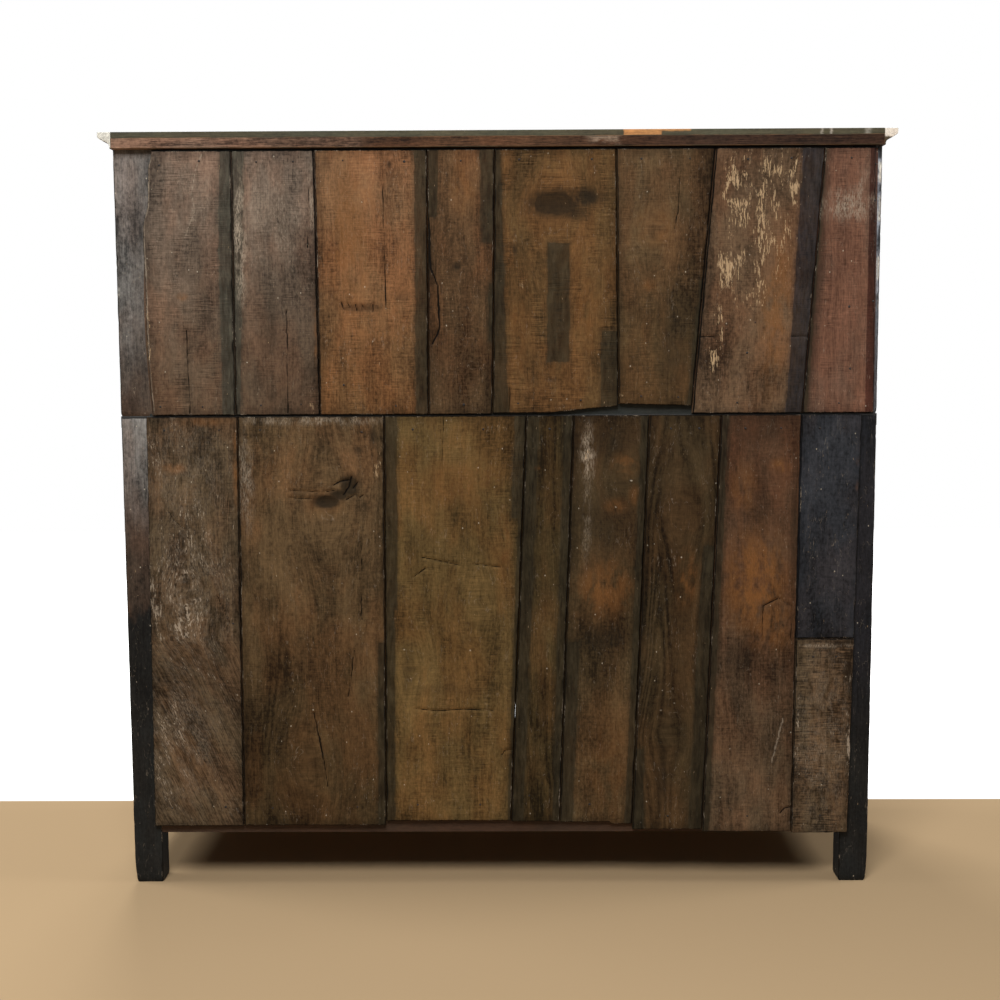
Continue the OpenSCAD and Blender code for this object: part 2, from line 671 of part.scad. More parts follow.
cornice_end = y_back - return_set;
module cornice_returns() color(OAK_BLACK) both_sides() intersection() {
    translate([half_w, 0, z_cornice]) run_y(y_face - cornice_out, cornice_end) cornice_section();
    translate([0, 0, z_cornice]) linear_extrude(cornice_h) polygon([
        [half_w, y_face], [half_w + cornice_out, y_face - cornice_out],
        [half_w + cornice_out, cornice_end], [half_w, cornice_end]]);
}

module rear_strip() color(OAK_RED)
    block(box(-half_w, y_frame, z_top - strip_h, half_w, y_back, z_top));

// Back boards: tapered boards side by side, their outlines drawn in X and Z
module back_board(outline, t, tone) color(tone)
    translate([0, y_frame + t, 0]) rotate([90, 0, 0]) linear_extrude(t) polygon(outline);

// A seam's place at height z, on a back that reaches from lo to hi
function seam_at(s, z, lo, hi) = half_w * (s[1] + (s[0] - s[1]) * (z - lo) / (hi - lo));
function board_outline(a, b, z0, z1, lo, hi) = [
    [seam_at(a, z1, lo, hi) - board_gap / 2, z1], [seam_at(b, z1, lo, hi) + board_gap / 2, z1],
    [seam_at(b, z0, lo, hi) + board_gap / 2, z0], [seam_at(a, z0, lo, hi) - board_gap / 2, z0]];

upper_board_z1 = z_top - strip_h - strip_gap;
lower_board_z1 = waist_h - board_gap;
waney_steps = 12;
// The waney edge: the straight seam plus a bulge that is widest over the middle
WANEY_EDGE = [for (i = [0:waney_steps]) let (
    s = i / waney_steps, z0 = waist_h + upper_feet[0], z = z0 + (upper_board_z1 - z0) * s)
    [seam_at(upper_seam_shares[0], z, waist_h, upper_board_z1) + waney_bulge * sin(180 * s), z]];

module upper_back_board(i) {
    straight = board_outline(upper_seam_shares[i], upper_seam_shares[i + 1],
                             waist_h + upper_feet[i], upper_board_z1, waist_h, upper_board_z1);
    outline = i > 0 ? straight : concat([straight[1], straight[2]], WANEY_EDGE);
    back_board(outline, board_t - upper_thin[i], BOARD_TONES[i]);
}

function lower_outline(i, z0, z1) =
    board_outline(lower_seam_shares[i], lower_seam_shares[i + 1], z0, z1, foot_h,
                  lower_board_z1);

patch_z = waist_h * patch_share;
module lower_back_board(i)
    back_board(lower_outline(i, i < 7 ? foot_h + lower_feet[i] : patch_z + board_gap / 2,
                             lower_board_z1),
               board_t - lower_thin[i], i < 7 ? BOARD_TONES[(i + 5) % 8] : OAK_BLACK);

module lower_back_patch()
    back_board(lower_outline(7, foot_h, patch_z - board_gap / 2), board_t - patch_thin,
               BOARD_TONES[6]);

// Hinges: origin on the axis at the middle of the hinge, the door to the +X side
end_knuckle = [knuckle_l / 2, knuckle_l * 1.5];
DOOR_KNUCKLES = [[knuckle_gap - knuckle_l / 2, knuckle_l / 2 - knuckle_gap]];
CASE_KNUCKLES = [end_knuckle, [-end_knuckle[1], -end_knuckle[0]]];

module leaf_outline() difference() {
    polygon([[leaf_root, -end_knuckle[1]], [leaf_w, -leaf_h / 2], [leaf_w, leaf_h / 2],
             [leaf_root, end_knuckle[1]]]);
    translate([leaf_w + leaf_h * leaf_hollow_share, 0]) circle(leaf_h * leaf_hollow_r_share);
}

module knuckle(z) difference() {
    union() {
        translate([0, 0, z[0]]) cylinder(h = z[1] - z[0], r = knuckle_r);
        translate([0, 0, z[0]]) cube([leaf_root + slip, axis_out, z[1] - z[0]]);
    }
    translate([0, 0, z[0] - cut_over])
        cylinder(h = z[1] - z[0] + 2 * cut_over, r = pin_r + run_gap);
}

// A leaf with its own knuckles, cut clear of the knuckles of the other leaf
module leaf(own, other) {
    difference() {
        translate([0, axis_out, 0]) rotate([90, 0, 0]) linear_extrude(leaf_t) leaf_outline();
        for (z = other) translate([0, 0, z[0] - knuckle_gap])
            cylinder(h = z[1] - z[0] + 2 * knuckle_gap, r = knuckle_r + notch_gap);
    }
    for (z = own) knuckle(z);
}

module door_leaf() leaf(DOOR_KNUCKLES, CASE_KNUCKLES);
module case_leaf() mirror([1, 0, 0]) leaf(CASE_KNUCKLES, DOOR_KNUCKLES);

module hinge_pin() {
    translate([0, 0, -end_knuckle[1] - pin_foot])
        cylinder(h = 2 * end_knuckle[1] + pin_foot + close_gap, r = pin_r);
    translate([0, 0, end_knuckle[1] + close_gap]) cylinder(h = pin_head_t, r = pin_head_r);
}

module at_hinges(h) for (z = [hinge_inset, h - hinge_inset])
    translate([-door_gap / 2, -axis_out, z]) children();

// Knob in front of the XZ plane, with its dowel behind it
module knob_outline() {
    back = knob_l * knob_back_share;
    translate([0, -knob_dowel_l]) square([knob_dowel_r, knob_dowel_l + back + slip]);
    translate([0, close_gap]) {
        square([knob_r * knob_foot_share, knob_foot_t]);
        square([knob_r * knob_neck_share, 2 * knob_foot_t]);
    }
    intersection() {
        translate([0, knob_l - knob_r * knob_dome_share]) circle(knob_r);
        translate([0, back]) square([knob_r, knob_l - back]);
    }
}

module knob() rotate([90, 0, 0]) rotate_extrude() knob_outline();
module knob_bore() translate([0, knob_dowel_l + cut_over, 0]) rotate([90, 0, 0])
    cylinder(h = knob_dowel_l + 2 * cut_over, r = knob_dowel_r + run_gap);

// Doors: the hinged stile at X 0, the face in the plane Y 0
function door_rails(w, h) = [
    box(door_stile_w, 0, 0, w - door_stile_w, door_t, door_bottom_rail_h),
    box(door_stile_w, 0, h - door_top_rail_h, w - door_stile_w, door_t, h)];
function door_muntins(w, h, n) = n < 2 ? [] : [
    box((w - door_muntin_w) / 2, 0, door_bottom_rail_h,
        (w + door_muntin_w) / 2, door_t, h - door_top_rail_h)];
function door_openings(w, h, n) = let (
    inner = w - 2 * door_stile_w, pane = (inner - (n - 1) * door_muntin_w) / n)
    [for (i = [0:n - 1]) let (x = door_stile_w + i * (pane + door_muntin_w))
        box(x, 0, door_bottom_rail_h, x + pane, door_t, h - door_top_rail_h)];
function door_cuts(w, h, n) = concat(
    tenons(door_rails(w, h), 0, tenon_l), tenons(door_muntins(w, h, n), 2, short_tenon_l),
    plates(door_openings(w, h, n), 1));

module door_frame(w, h, n) {
    cuts = door_cuts(w, h, n);
    front_stile(box(0, 0, 0, door_stile_w, door_t, h), cuts);
    difference() {
        front_stile(box(w - door_stile_w, 0, 0, w, door_t, h), cuts);
        translate([w - door_stile_w / 2, 0, h / 2]) knob_bore();
    }
    front_rails(door_rails(w, h), 0, tenon_l, cuts);
    front_rails(door_muntins(w, h, n), 2, short_tenon_l, cuts);
    translate([w - door_stile_w / 2, 0, h / 2]) knob();
}

module door_panels(w, h, n) for (b = door_openings(w, h, n)) front_panel(b);

module at_lower_door(side) on_side(side) translate([door_gap - front_x, y_face, z_door + door_gap])
    children();
module at_upper_door(side) on_side(side)
    translate([door_gap - rear_x, y_recess, z_upper_door + door_gap]) children();

module lower_door(side) color(OAK) at_lower_door(side) door_frame(lower_door_w, lower_door_h, 2);
module lower_door_panels(side) color(OAK) at_lower_door(side)
    door_panels(lower_door_w, lower_door_h, 2);
module lower_door_leaves(side) color(IRON) at_lower_door(side) at_hinges(lower_door_h) door_leaf();

module upper_door(side) color(OAK) at_upper_door(side) {
    door_frame(upper_door_w, upper_door_h, 1);
    door_panels(upper_door_w, upper_door_h, 1);
}
module upper_door_leaves(side) color(IRON) at_upper_door(side) at_hinges(upper_door_h) door_leaf();

module case_hinge_half() {
    case_leaf();
    hinge_pin();
}

module hinge_plates() color(IRON) for (side = [-1, 1]) {
    at_lower_door(side) at_hinges(lower_door_h) case_hinge_half();
    at_upper_door(side) at_hinges(upper_door_h) case_hinge_half();
}

// Drawers: the front's low left corner at the origin, the face in the plane Y 0
module drawer(x) {
    w = drawer_w - 2 * door_gap;
    h = drawer_h - 2 * door_gap;
    box_h = h - drawer_side_drop;
    inner = side_set + drawer_side_t;
    bottom = box(side_set, front_lap, 0, w - side_set, drawer_l, drawer_bottom_t);
    sides = [for (x0 = [side_set, w - inner])
        box(x0, front_lap, drawer_bottom_t + close_gap, x0 + drawer_side_t, drawer_l, box_h)];
    groove_z = z_runner - z_drawer - door_gap;
    knob_x = [w * knob_share, w * (1 - knob_share)];
    translate([x - w / 2, y_face, z_drawer + door_gap]) {
        difference() {
            block(box(0, 0, 0, w, drawer_front_t, h));
            block(grown(bottom, close_gap));
            for (b = sides) block(grown(b, close_gap));
            for (x = knob_x) translate([x, 0, h / 2]) knob_bore();
        }
        for (x = knob_x) translate([x, 0, h / 2]) knob();
        block(bottom);
        difference() {
            for (b = sides) block(b);
            for (x = [-cut_over, w - side_set - runner_in - groove_slack])
                block(box(x, drawer_front_t + cut_over, groove_z - groove_slack,
                          x + cut_over + side_set + runner_in + groove_slack,
                          drawer_l + cut_over, groove_z + runner_h + seat_gap));
        }
        block(box(inner + close_gap, drawer_l - drawer_side_t, drawer_bottom_t + close_gap,
                  w - inner - close_gap, drawer_l, box_h));
    }
}

module drawer_left() color(OAK) drawer(-drawer_x);
module drawer_middle() color(OAK) drawer(0);
module drawer_right() color(OAK) drawer(drawer_x);

rear_stile_left();
rear_stile_right();
front_stile_left();
front_stile_right();
lower_front_rails();
lower_muntins();
lower_rear_rails();
lower_side_rails();
lower_side_panels();
floor_boards();
shelf();
drawer_runners();
ledge_boards();
upper_rear_stiles();
upper_front_stiles();
upper_front_frame();
centre_panel();
upper_rear_rails();
upper_side_rails();
upper_side_panels();
frieze_rail();
corner_posts();
pendants();
soffit_board();
top_boards();
cornice_front();
cornice_returns();
rear_strip();
hinge_plates();
drawer_left();
drawer_middle();
drawer_right();
lower_door(-1);  // lower_door_left
lower_door_panels(-1);  // lower_door_left_panels
lower_door_leaves(-1);  // lower_door_left_leaves
lower_door(1);  // lower_door_right
lower_door_panels(1);  // lower_door_right_panels
lower_door_leaves(1);  // lower_door_right_leaves
upper_door(-1);  // upper_door_left
upper_door_leaves(-1);  // upper_door_left_leaves
upper_door(1);  // upper_door_right
upper_door_leaves(1);  // upper_door_right_leaves
upper_back_board(0);  // upper_back_board_1
upper_back_board(1);  // upper_back_board_2
upper_back_board(2);  // upper_back_board_3
upper_back_board(3);  // upper_back_board_4
upper_back_board(4);  // upper_back_board_5
upper_back_board(5);  // upper_back_board_6
upper_back_board(6);  // upper_back_board_7
upper_back_board(7);  // upper_back_board_8
lower_back_board(0);  // lower_back_board_1
lower_back_board(1);  // lower_back_board_2
lower_back_board(2);  // lower_back_board_3
lower_back_board(3);  // lower_back_board_4
lower_back_board(4);  // lower_back_board_5
lower_back_board(5);  // lower_back_board_6
lower_back_board(6);  // lower_back_board_7
lower_back_board(7);  // lower_back_board_8
lower_back_patch();
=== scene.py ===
"""Court cupboard in aged oak, standing with its nailed back towards the camera."""

import json
import math
from functools import partial, reduce

import bmesh
import bpy
import numpy as np
from mathutils import Matrix, Vector

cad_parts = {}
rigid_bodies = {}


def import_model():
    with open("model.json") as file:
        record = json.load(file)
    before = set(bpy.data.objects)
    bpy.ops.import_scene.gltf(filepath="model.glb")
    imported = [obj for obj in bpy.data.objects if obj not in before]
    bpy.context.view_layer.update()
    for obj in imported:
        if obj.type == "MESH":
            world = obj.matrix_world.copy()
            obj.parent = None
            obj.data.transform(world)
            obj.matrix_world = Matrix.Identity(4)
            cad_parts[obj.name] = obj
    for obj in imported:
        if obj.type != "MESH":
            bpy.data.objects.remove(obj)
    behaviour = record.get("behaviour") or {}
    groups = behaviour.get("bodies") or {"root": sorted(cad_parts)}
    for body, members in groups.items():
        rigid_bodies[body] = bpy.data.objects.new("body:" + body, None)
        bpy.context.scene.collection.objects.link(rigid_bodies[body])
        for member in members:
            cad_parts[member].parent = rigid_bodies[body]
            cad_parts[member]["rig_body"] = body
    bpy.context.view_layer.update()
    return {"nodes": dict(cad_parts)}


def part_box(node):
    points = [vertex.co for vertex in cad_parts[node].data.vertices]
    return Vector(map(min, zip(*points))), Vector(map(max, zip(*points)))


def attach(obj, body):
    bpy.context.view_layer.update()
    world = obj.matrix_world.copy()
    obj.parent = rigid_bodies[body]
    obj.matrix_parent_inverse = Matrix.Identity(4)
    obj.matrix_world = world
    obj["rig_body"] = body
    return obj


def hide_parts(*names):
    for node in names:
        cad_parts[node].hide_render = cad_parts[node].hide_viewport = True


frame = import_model()

bl_info = {
    "name": "Court cupboard",
    "version": (1, 0, 0),
    "blender": (4, 5, 0),
    "location": "View3D > Sidebar > Cupboard",
    "description": "Boards, stiles, carving, iron and studio of an oak court cupboard",
    "category": "Object",
}

MM = 0.001
CASE = "case"


# ---------------------------------------------------------------- sizes and colours

def tone(r, g, b):
    """A display tone of 0 to 255 as the linear colour that a socket takes."""
    c = np.array([r, g, b]) / 255
    linear = np.where(c <= 0.04045, c / 12.92, ((c + 0.055) / 1.055) ** 2.4)
    return tuple(float(x) for x in linear)


def colour(name, description, *rgb):
    return bpy.props.FloatVectorProperty(
        name=name, description=description, subtype="COLOR", size=3, min=0, max=1,
        default=tone(*rgb))


def length(name, description, millimetres):
    return bpy.props.FloatProperty(
        name=name, description=description, subtype="DISTANCE", unit="LENGTH",
        min=0, default=millimetres * MM)


def power(name, description, watts):
    return bpy.props.FloatProperty(
        name=name, description=description, subtype="POWER", unit="POWER", default=watts)


class CupboardSizes(bpy.types.PropertyGroup):
    cell: length("Board cell", "Side of a cell of a back board's surface", 2.4)
    arris: length("Board arris", "Radius of the worn arris round a back board", 1.6)
    warp: length("Board warp", "Depth of the slow hollows across a back board", 1.2)
    wander: length("Edge wander", "How far a sawn edge strays from its line", 1.2)
    rebate: length("Dark strip", "Depth of the dark strips along the boards", 0.4)
    soft: length("Member arris", "Width of the rounded arris of frame members", 1.1)
    seam: length("Seam", "How far a board reaches over the gap beside it at its back", 0.9)
    carving: length("Carving", "Depth of the sunk ground of the carved oak", 3.4)
    peg: length("Peg", "Radius of an oak peg", 4.4)
    nail: length("Nail head", "Radius of a forged nail's head", 2.4)


class CupboardTones(bpy.types.PropertyGroup):
    ash: colour("Ash brown", "Heads of the grey-brown boards at photo-left", 108, 91, 79)
    ash_low: colour("Ash brown, low", "Feet of the grey-brown boards", 88, 70, 55)
    orange: colour("Orange brown", "Head of the third upper board", 120, 87, 61)
    orange_low: colour("Orange brown, low", "Foot of the third upper board", 107, 76, 48)
    chestnut: colour("Chestnut", "Head of the fourth upper board", 93, 67, 45)
    chestnut_low: colour("Chestnut, low", "Foot of the fourth upper board", 78, 58, 39)
    golden: colour("Golden brown", "The board with the dark stain", 94, 69, 42)
    umber: colour("Umber", "Heads of the olive brown boards", 91, 70, 48)
    umber_low: colour("Umber, low", "Feet of the olive brown boards", 71, 54, 34)
    honey: colour("Honey brown", "The third lower board", 92, 71, 42)
    flaky: colour("Flaky tan", "The board with the tan flakes", 98, 75, 56)
    reddish: colour("Red brown", "The last upper board", 103, 75, 61)
    rough: colour("Rough brown", "The first lower board", 82, 66, 49)
    olive: colour("Dark olive", "The narrow lower board", 59, 46, 27)
    smoky: colour("Smoky brown", "The fifth and sixth lower boards", 62, 48, 31)
    rust: colour("Rust brown", "Head of the seventh lower board", 76, 53, 38)
    rust_low: colour("Rust brown, low", "Foot of the seventh lower board", 75, 59, 44)
    # Dark paint with a painted bluish sheen.
    slate: colour("Slate", "The painted board at the photo-right", 48, 48, 52)
    band: colour("Dark strip", "The dark strips between the boards", 45, 40, 29)
    grey_band: colour("Grey strip", "The grey green strips on the grey boards", 58, 57, 49)
    cold_band: colour("Cold strip", "The blue black strip on one upper board", 34, 34, 37)
    crack: colour("Crack", "Inside of cracks and knot holes", 12, 10, 8)
    flake: colour("Flake", "Pale flakes and scuffs", 182, 155, 120)
    glow: colour("Rubbed glow", "Rubbed orange areas", 126, 84, 46)
    # The same whitish tone also paints highlights along arrises and along one waney edge.
    scuff: colour("Scuff", "Whitish film of scuffed and chipped places, and of painted highlights on arrises", 164, 150, 132)
    stile: colour("Stile", "Near black stiles and feet", 26, 26, 25)
    stile_cold: colour("Cold stile", "Bluish black of the other lower stile", 31, 31, 35)
    # Grey paint with a painted sheen over it.
    stile_grey_and_sheen: colour("Grey stile", "Mottled grey paint of the upper stile with a painted sheen", 112, 106, 102)
    stile_brown: colour("Brown stile", "Middle of the lower stile", 66, 53, 44)
    dark_rail: colour("Dark rail", "Dark grey rear rails of the upper stage", 44, 46, 43)
    strip: colour("Top strip", "Middle of the reddish strip along the top", 76, 52, 36)
    strip_pale: colour("Worn strip", "Photo-left end of the strip", 120, 94, 78)
    strip_dark: colour("Dark end of the strip", "Photo-right end of the strip", 53, 37, 28)
    bare: colour("Bare edge", "Bare orange edge of a top board", 176, 126, 78)
    wine: colour("Wine red", "Dark red border of the last upper board", 62, 36, 30)
    # Painted sheen: the bluish reflection on a polished stile's corner, put into its colour.
    gloss: colour("Painted sheen", "Painted bluish sheen on a stile's corner", 140, 142, 150)
    rail: colour("Rear rail", "Reddish rear rails", 66, 48, 36)
    top: colour("Top edge", "Olive dark top boards", 70, 66, 50)
    # Pale broken ends of the cornice and chips; on the polished stile's corner the same tone is a
    # painted white glint.
    broken: colour("Broken end and painted glint", "Broken pale ends of the cornice, and painted glints on a stile's corner", 214, 207, 196)
    front: colour("Front oak", "Waxed oak of the front", 74, 47, 29)
    panel: colour("Panel oak", "Waxed oak of the panels", 86, 55, 32)
    worn: colour("Worn arris", "Rubbed arrises of the front", 128, 88, 54)
    inner: colour("Inner oak", "Unfinished oak inside", 122, 94, 66)
    iron: colour("Iron", "Blackened forged iron", 36, 34, 32)
    floor: colour("Floor", "Plain pale floor", 166, 142, 110)
    far_floor: colour("Far floor", "Floor beyond the cupboard", 250, 250, 250)


class CupboardStudio(bpy.types.PropertyGroup):
    sky: bpy.props.FloatProperty(
        name="Sky", description="Strength of the even light from all round", default=0.12,
        subtype="FACTOR")
    key: power("Key lamp", "Power of the large lamp behind the camera", 196)
    fill: power("Fill lamp", "Power of the large lamp before the front", 165)
    side: power("Side lamps", "Power of each of the two side lamps", 95)
    lens: bpy.props.FloatProperty(
        name="Lens", description="Focal length on a 36 mm sensor", subtype="DISTANCE_CAMERA",
        default=50.4)


def sizes():
    """The lengths that a user can change."""
    return bpy.context.scene.cupboard_sizes


def paint(name):
    """A named tone as the tuple that a socket takes."""
    return tuple(getattr(bpy.context.scene.cupboard_tones, name))


# ---------------------------------------------------------------- shader nodes

class Nodes:
    """Adds nodes to one tree. Each input is given as a socket or as a value."""

    def __init__(self, tree):
        self.tree = tree

    def put(self, kind, wires=None, **settings):
        """One node: settings are its attributes, wires map its inputs to what they take."""
        node = self.tree.nodes.new(kind)
        for key, value in settings.items():
            setattr(node, key, value)
        for key, value in (wires or {}).items():
            socket = node.inputs[key]
            if isinstance(value, bpy.types.NodeSocket):
                self.tree.links.new(value, socket)
            elif socket.type == "RGBA" and len(value) == 3:
                socket.default_value = (*value, 1)
            else:
                socket.default_value = value
        return node

    def maths(self, operation, *values, clamp=False):
        return self.put("ShaderNodeMath", dict(enumerate(values)), operation=operation,
                        use_clamp=clamp).outputs[0]

    def total(self, *values):
        return reduce(partial(self.maths, "ADD"), values)

    def times(self, *values):
        return reduce(partial(self.maths, "MULTIPLY"), values)

    def minus(self, a, b):
        return self.maths("SUBTRACT", a, b)

    def scaled(self, vector, factors):
        return self.put("ShaderNodeVectorMath", {0: vector, 1: factors},
                        operation="MULTIPLY").outputs[0]

    def noise(self, vector, factors, detail=3.0, roughness=0.55):
        """Noise from 0 to 1, with factors for how many waves go into a metre of each axis."""
        return self.put("ShaderNodeTexNoise", {
            "Vector": self.scaled(vector, factors), "Scale": 1.0, "Detail": detail,
            "Roughness": roughness}).outputs["Fac"]

    def ramp(self, value, low, high, to_low=0.0, to_high=1.0):
        """A smooth step from to_low at low to to_high at high."""
        return self.put("ShaderNodeMapRange", {
            "Value": value, "From Min": low, "From Max": high, "To Min": to_low,
            "To Max": to_high}, interpolation_type="SMOOTHSTEP").outputs["Result"]

    def mix(self, factor, a, b, blend="MIX"):
        """Colour a with colour b over it by a factor."""
        return self.put("ShaderNodeMix", {0: factor, 6: a, 7: b}, data_type="RGBA",
                        blend_type=blend).outputs[2]

    def tinted(self, a, b):
        """Colour a times colour or value b."""
        return self.mix(1.0, a, b, "MULTIPLY")

    def attribute(self, name):
        return self.put("ShaderNodeAttribute", attribute_name=name).outputs

    def here(self):
        """The object coordinates."""
        return self.put("ShaderNodeTexCoord").outputs["Object"]

    def place(self):
        """The X, Y and Z of the object coordinates."""
        return self.put("ShaderNodeSeparateXYZ", {0: self.here()}).outputs

    def layer(self, name, wires):
        """The surface that a shared node group gives; the group is made at its first use."""
        tree = bpy.data.node_groups.get(name) or group(name, *GROUPS[name])
        outputs = self.put("ShaderNodeGroup", wires, node_tree=tree).outputs
        return {key: outputs[key] for key in SURFACE}


VALUE, COLOUR, VECTOR = "NodeSocketFloat", "NodeSocketColor", "NodeSocketVector"
SURFACE = {"Color": COLOUR, "Roughness": VALUE, "Height": VALUE}


def group(name, build, inputs):
    """A node group that gives a surface. inputs map names to a socket type, or to the default
    of a value."""
    tree = bpy.data.node_groups.new(name, "ShaderNodeTree")
    for key, given in inputs.items():
        if isinstance(given, str):
            tree.interface.new_socket(key, in_out="INPUT", socket_type=given)
        else:
            socket = tree.interface.new_socket(key, in_out="INPUT", socket_type=VALUE)
            socket.default_value = given
    for key, kind in SURFACE.items():
        tree.interface.new_socket(key, in_out="OUTPUT", socket_type=kind)
    n = Nodes(tree)
    n.put("NodeGroupOutput", build(n, n.put("NodeGroupInput").outputs))
    return tree


def build_oak(n, given):
    """Grain along Z: fine streaks, fibres and pores, slow smoke, flowing figure, saw marks."""
    at = given["Position"]
    streak = n.noise(at, (210, 210, 4.5), 3, 0.6)
    fibre = n.noise(at, (620, 620, 26), 2, 0.6)
    pore = n.ramp(n.noise(at, (1300, 1300, 60), 0), 0.6, 0.72)
    cloud = n.noise(at, (6, 6, 3), 2)
    smoke = n.noise(at, (19, 19, 9), 4, 0.62)
    mottle = n.noise(at, (170, 170, 120), 3, 0.65)
    figure = n.maths("SINE", n.times(n.noise(at, (12, 12, 0.9), 1), 80.0))
    saw = n.noise(at, (26, 26, 420), 2, 0.7)
    sawn = n.ramp(n.noise(at, (30, 30, 14), 2), 0.4, 0.58, 0.15, 1.0)

    def share(value, middle, weight, amount):
        """What a pattern adds: how far it is from its middle, by its weight and its amount."""
        return n.times(n.minus(value, middle), weight, given[amount])

    saw_part = n.times(share(saw, 0.5, 1.5, "Saw"), sawn)
    value = n.total(
        1.0, share(streak, 0.5, 1.35, "Grain"), share(fibre, 0.5, 2.1, "Grain"),
        share(figure, 0.0, 0.12, "Figure"), share(cloud, 0.5, 2.4, "Blotch"),
        share(smoke, 0.5, 2.1, "Blotch"), share(mottle, 0.5, 1.9, "Blotch"), saw_part)
    shade = n.minus(1.0, n.times(pore, given["Grain"], 0.45))
    value = n.times(n.maths("MAXIMUM", value, 0.25), shade, given["Lift"])
    base = n.put("ShaderNodeVectorMath", {0: given["Tone"], "Scale": value},
                 operation="SCALE").outputs[0]
    hue = n.ramp(n.noise(at, (14, 14, 6), 3), 0.38, 0.62)
    cool, warm = n.tinted(base, (0.88, 1.0, 1.02)), n.tinted(base, (1.09, 0.97, 0.88))
    base = n.mix(given["Drift"], base, n.mix(hue, cool, warm))
    cells = n.put("ShaderNodeTexVoronoi", {
        "Vector": n.scaled(at, (60, 60, 44)), "Scale": 1.0, "Randomness": 1.0}).outputs
    dot = n.ramp(cells["Distance"], 0.1, 0.04)
    rare = n.ramp(n.put("ShaderNodeSeparateColor", {0: cells["Color"]}).outputs[0], 0.72, 0.74)
    base = n.mix(n.times(dot, rare, given["Speck"]), base, tone(200, 190, 170))
    rough = n.total(given["Dull"], share(streak, 0.5, 0.25, "Grain"),
                    share(smoke, 0.5, 0.3, "Blotch"))
    height = n.total(n.times(streak, 0.4), n.times(fibre, 0.4), n.times(mottle, 0.4), saw_part)
    return {"Color": base, "Roughness": rough, "Height": height}


def build_marks(n, given):
    """Lays a piece's own marks over its oak: strips, stains, glows, scuffs, painted shade towards
    the rims, chips with painted highlights on the arris, flakes, scratches and cracks."""
    def mark(name):
        """One of the marks that store_marks gives."""
        return n.attribute(name)["Fac"]

    at = given["Position"]
    rag = n.noise(at, (160, 160, 24), 2, 0.7)
    fine = n.noise(at, (560, 560, 130), 3, 0.7)
    coarse = n.noise(at, (48, 48, 22), 3, 0.65)
    ragged = n.minus(rag, 0.5)
    lump = n.ramp(coarse, 0.34, 0.6, 0.1, 1.0)
    rim = n.total(mark("edge"), n.times(ragged, 5.0))
    hair = n.maths("ABSOLUTE", n.minus(n.noise(at, (70, 70, 16), 2, 0.6), 0.5))
    hair = n.times(n.ramp(hair, 0.012, 0.002), n.ramp(fine, 0.42, 0.6), 0.3)
    # Painted shade: each board darkens towards its rims, where it meets the boards, the strip and
    # the rails beside it.
    soot = n.ramp(n.total(mark("edge"), n.times(n.minus(coarse, 0.5), 26.0)), 24.0, 0.0)
    base = n.mix(n.times(soot, given["Soot"]), given["Color"],
                 n.tinted(given["Color"], (0.36, 0.38, 0.4)))
    base = n.mix(n.times(hair, n.ramp(coarse, 0.45, 0.6)), base, given["Scuff"])
    base = n.mix(n.times(mark("glow"), lump), base,
                 n.tinted(given["Glow"], n.ramp(fine, 0.2, 0.8, 0.7, 1.25)))
    stain = n.maths("MULTIPLY", mark("stain"), n.ramp(coarse, 0.25, 0.6, 0.5, 1.15), clamp=True)
    base = n.mix(stain, base, n.mix(0.82, base, tone(26, 24, 18)))
    shadow = n.ramp(n.total(mark("band"), n.times(ragged, 9.0)), -8.5, 1.0, 0.0, 0.4)
    inside = n.maths("MAXIMUM", shadow, n.ramp(
        n.total(mark("band"), n.times(ragged, 7.0)), -2.2, 2.6))
    strip = n.tinted(given["Band"], n.ramp(rag, 0.2, 0.8, 0.4, 1.5))
    strip = n.tinted(strip, n.ramp(coarse, 0.3, 0.7, 0.7, 1.35))
    base = n.mix(n.times(inside, 0.8), base, strip)
    film = n.times(mark("scuff"), n.ramp(fine, 0.36, 0.66), n.ramp(coarse, 0.36, 0.58), 0.8)
    base = n.mix(film, base, given["Scuff"])
    base = n.mix(n.ramp(rim, 2.4, 0.5, 0.0, 0.92), base, given["Crack"])
    # Pale chips along the rims, which also stand for painted highlights on the arris.
    chips_and_arris_highlights = n.times(n.ramp(rim, 2.6, 0.6), n.ramp(coarse, 0.54, 0.64), n.ramp(fine, 0.45, 0.6),
                    0.6)
    base = n.mix(chips_and_arris_highlights, base, given["Scuff"])
    dense = n.times(mark("flake"), lump)
    dash = n.total(n.times(n.noise(at, (330, 330, 46), 2, 0.7), 0.6), n.times(fine, 0.4))
    over = n.minus(dash, n.ramp(dense, 0.0, 0.9, 0.66, 0.45))
    flake = n.tinted(given["Flake"], n.ramp(coarse, 0.3, 0.7, 0.6, 1.15))
    base = n.mix(n.times(n.ramp(over, 0.0, 0.05), 0.75), base, flake)
    # Pale scratch lines; on one board a line along the waney edge is a painted highlight.
    line = n.times(mark("scratch"), n.ramp(fine, 0.36, 0.52), 0.6)
    base = n.mix(line, base, given["Scuff"])
    split = n.ramp(n.total(mark("crack"), n.times(ragged, 1.6)), -0.2, 0.7)
    base = n.mix(n.times(split, 0.95), base, given["Crack"])
    height = n.total(given["Height"], n.times(split, -2.0))
    return {"Color": base, "Roughness": given["Roughness"], "Height": height}


def build_wear(n, given):
    """Rubs an arris pale in broken lengths."""
    rub = n.ramp(n.noise(given["Position"], (60, 60, 14), 4, 0.6), 0.4, 0.6)
    base = n.mix(n.times(rub, given["Amount"]), given["Color"], given["Rubbed"])
    return {"Color": base, "Roughness": given["Roughness"], "Height": given["Height"]}


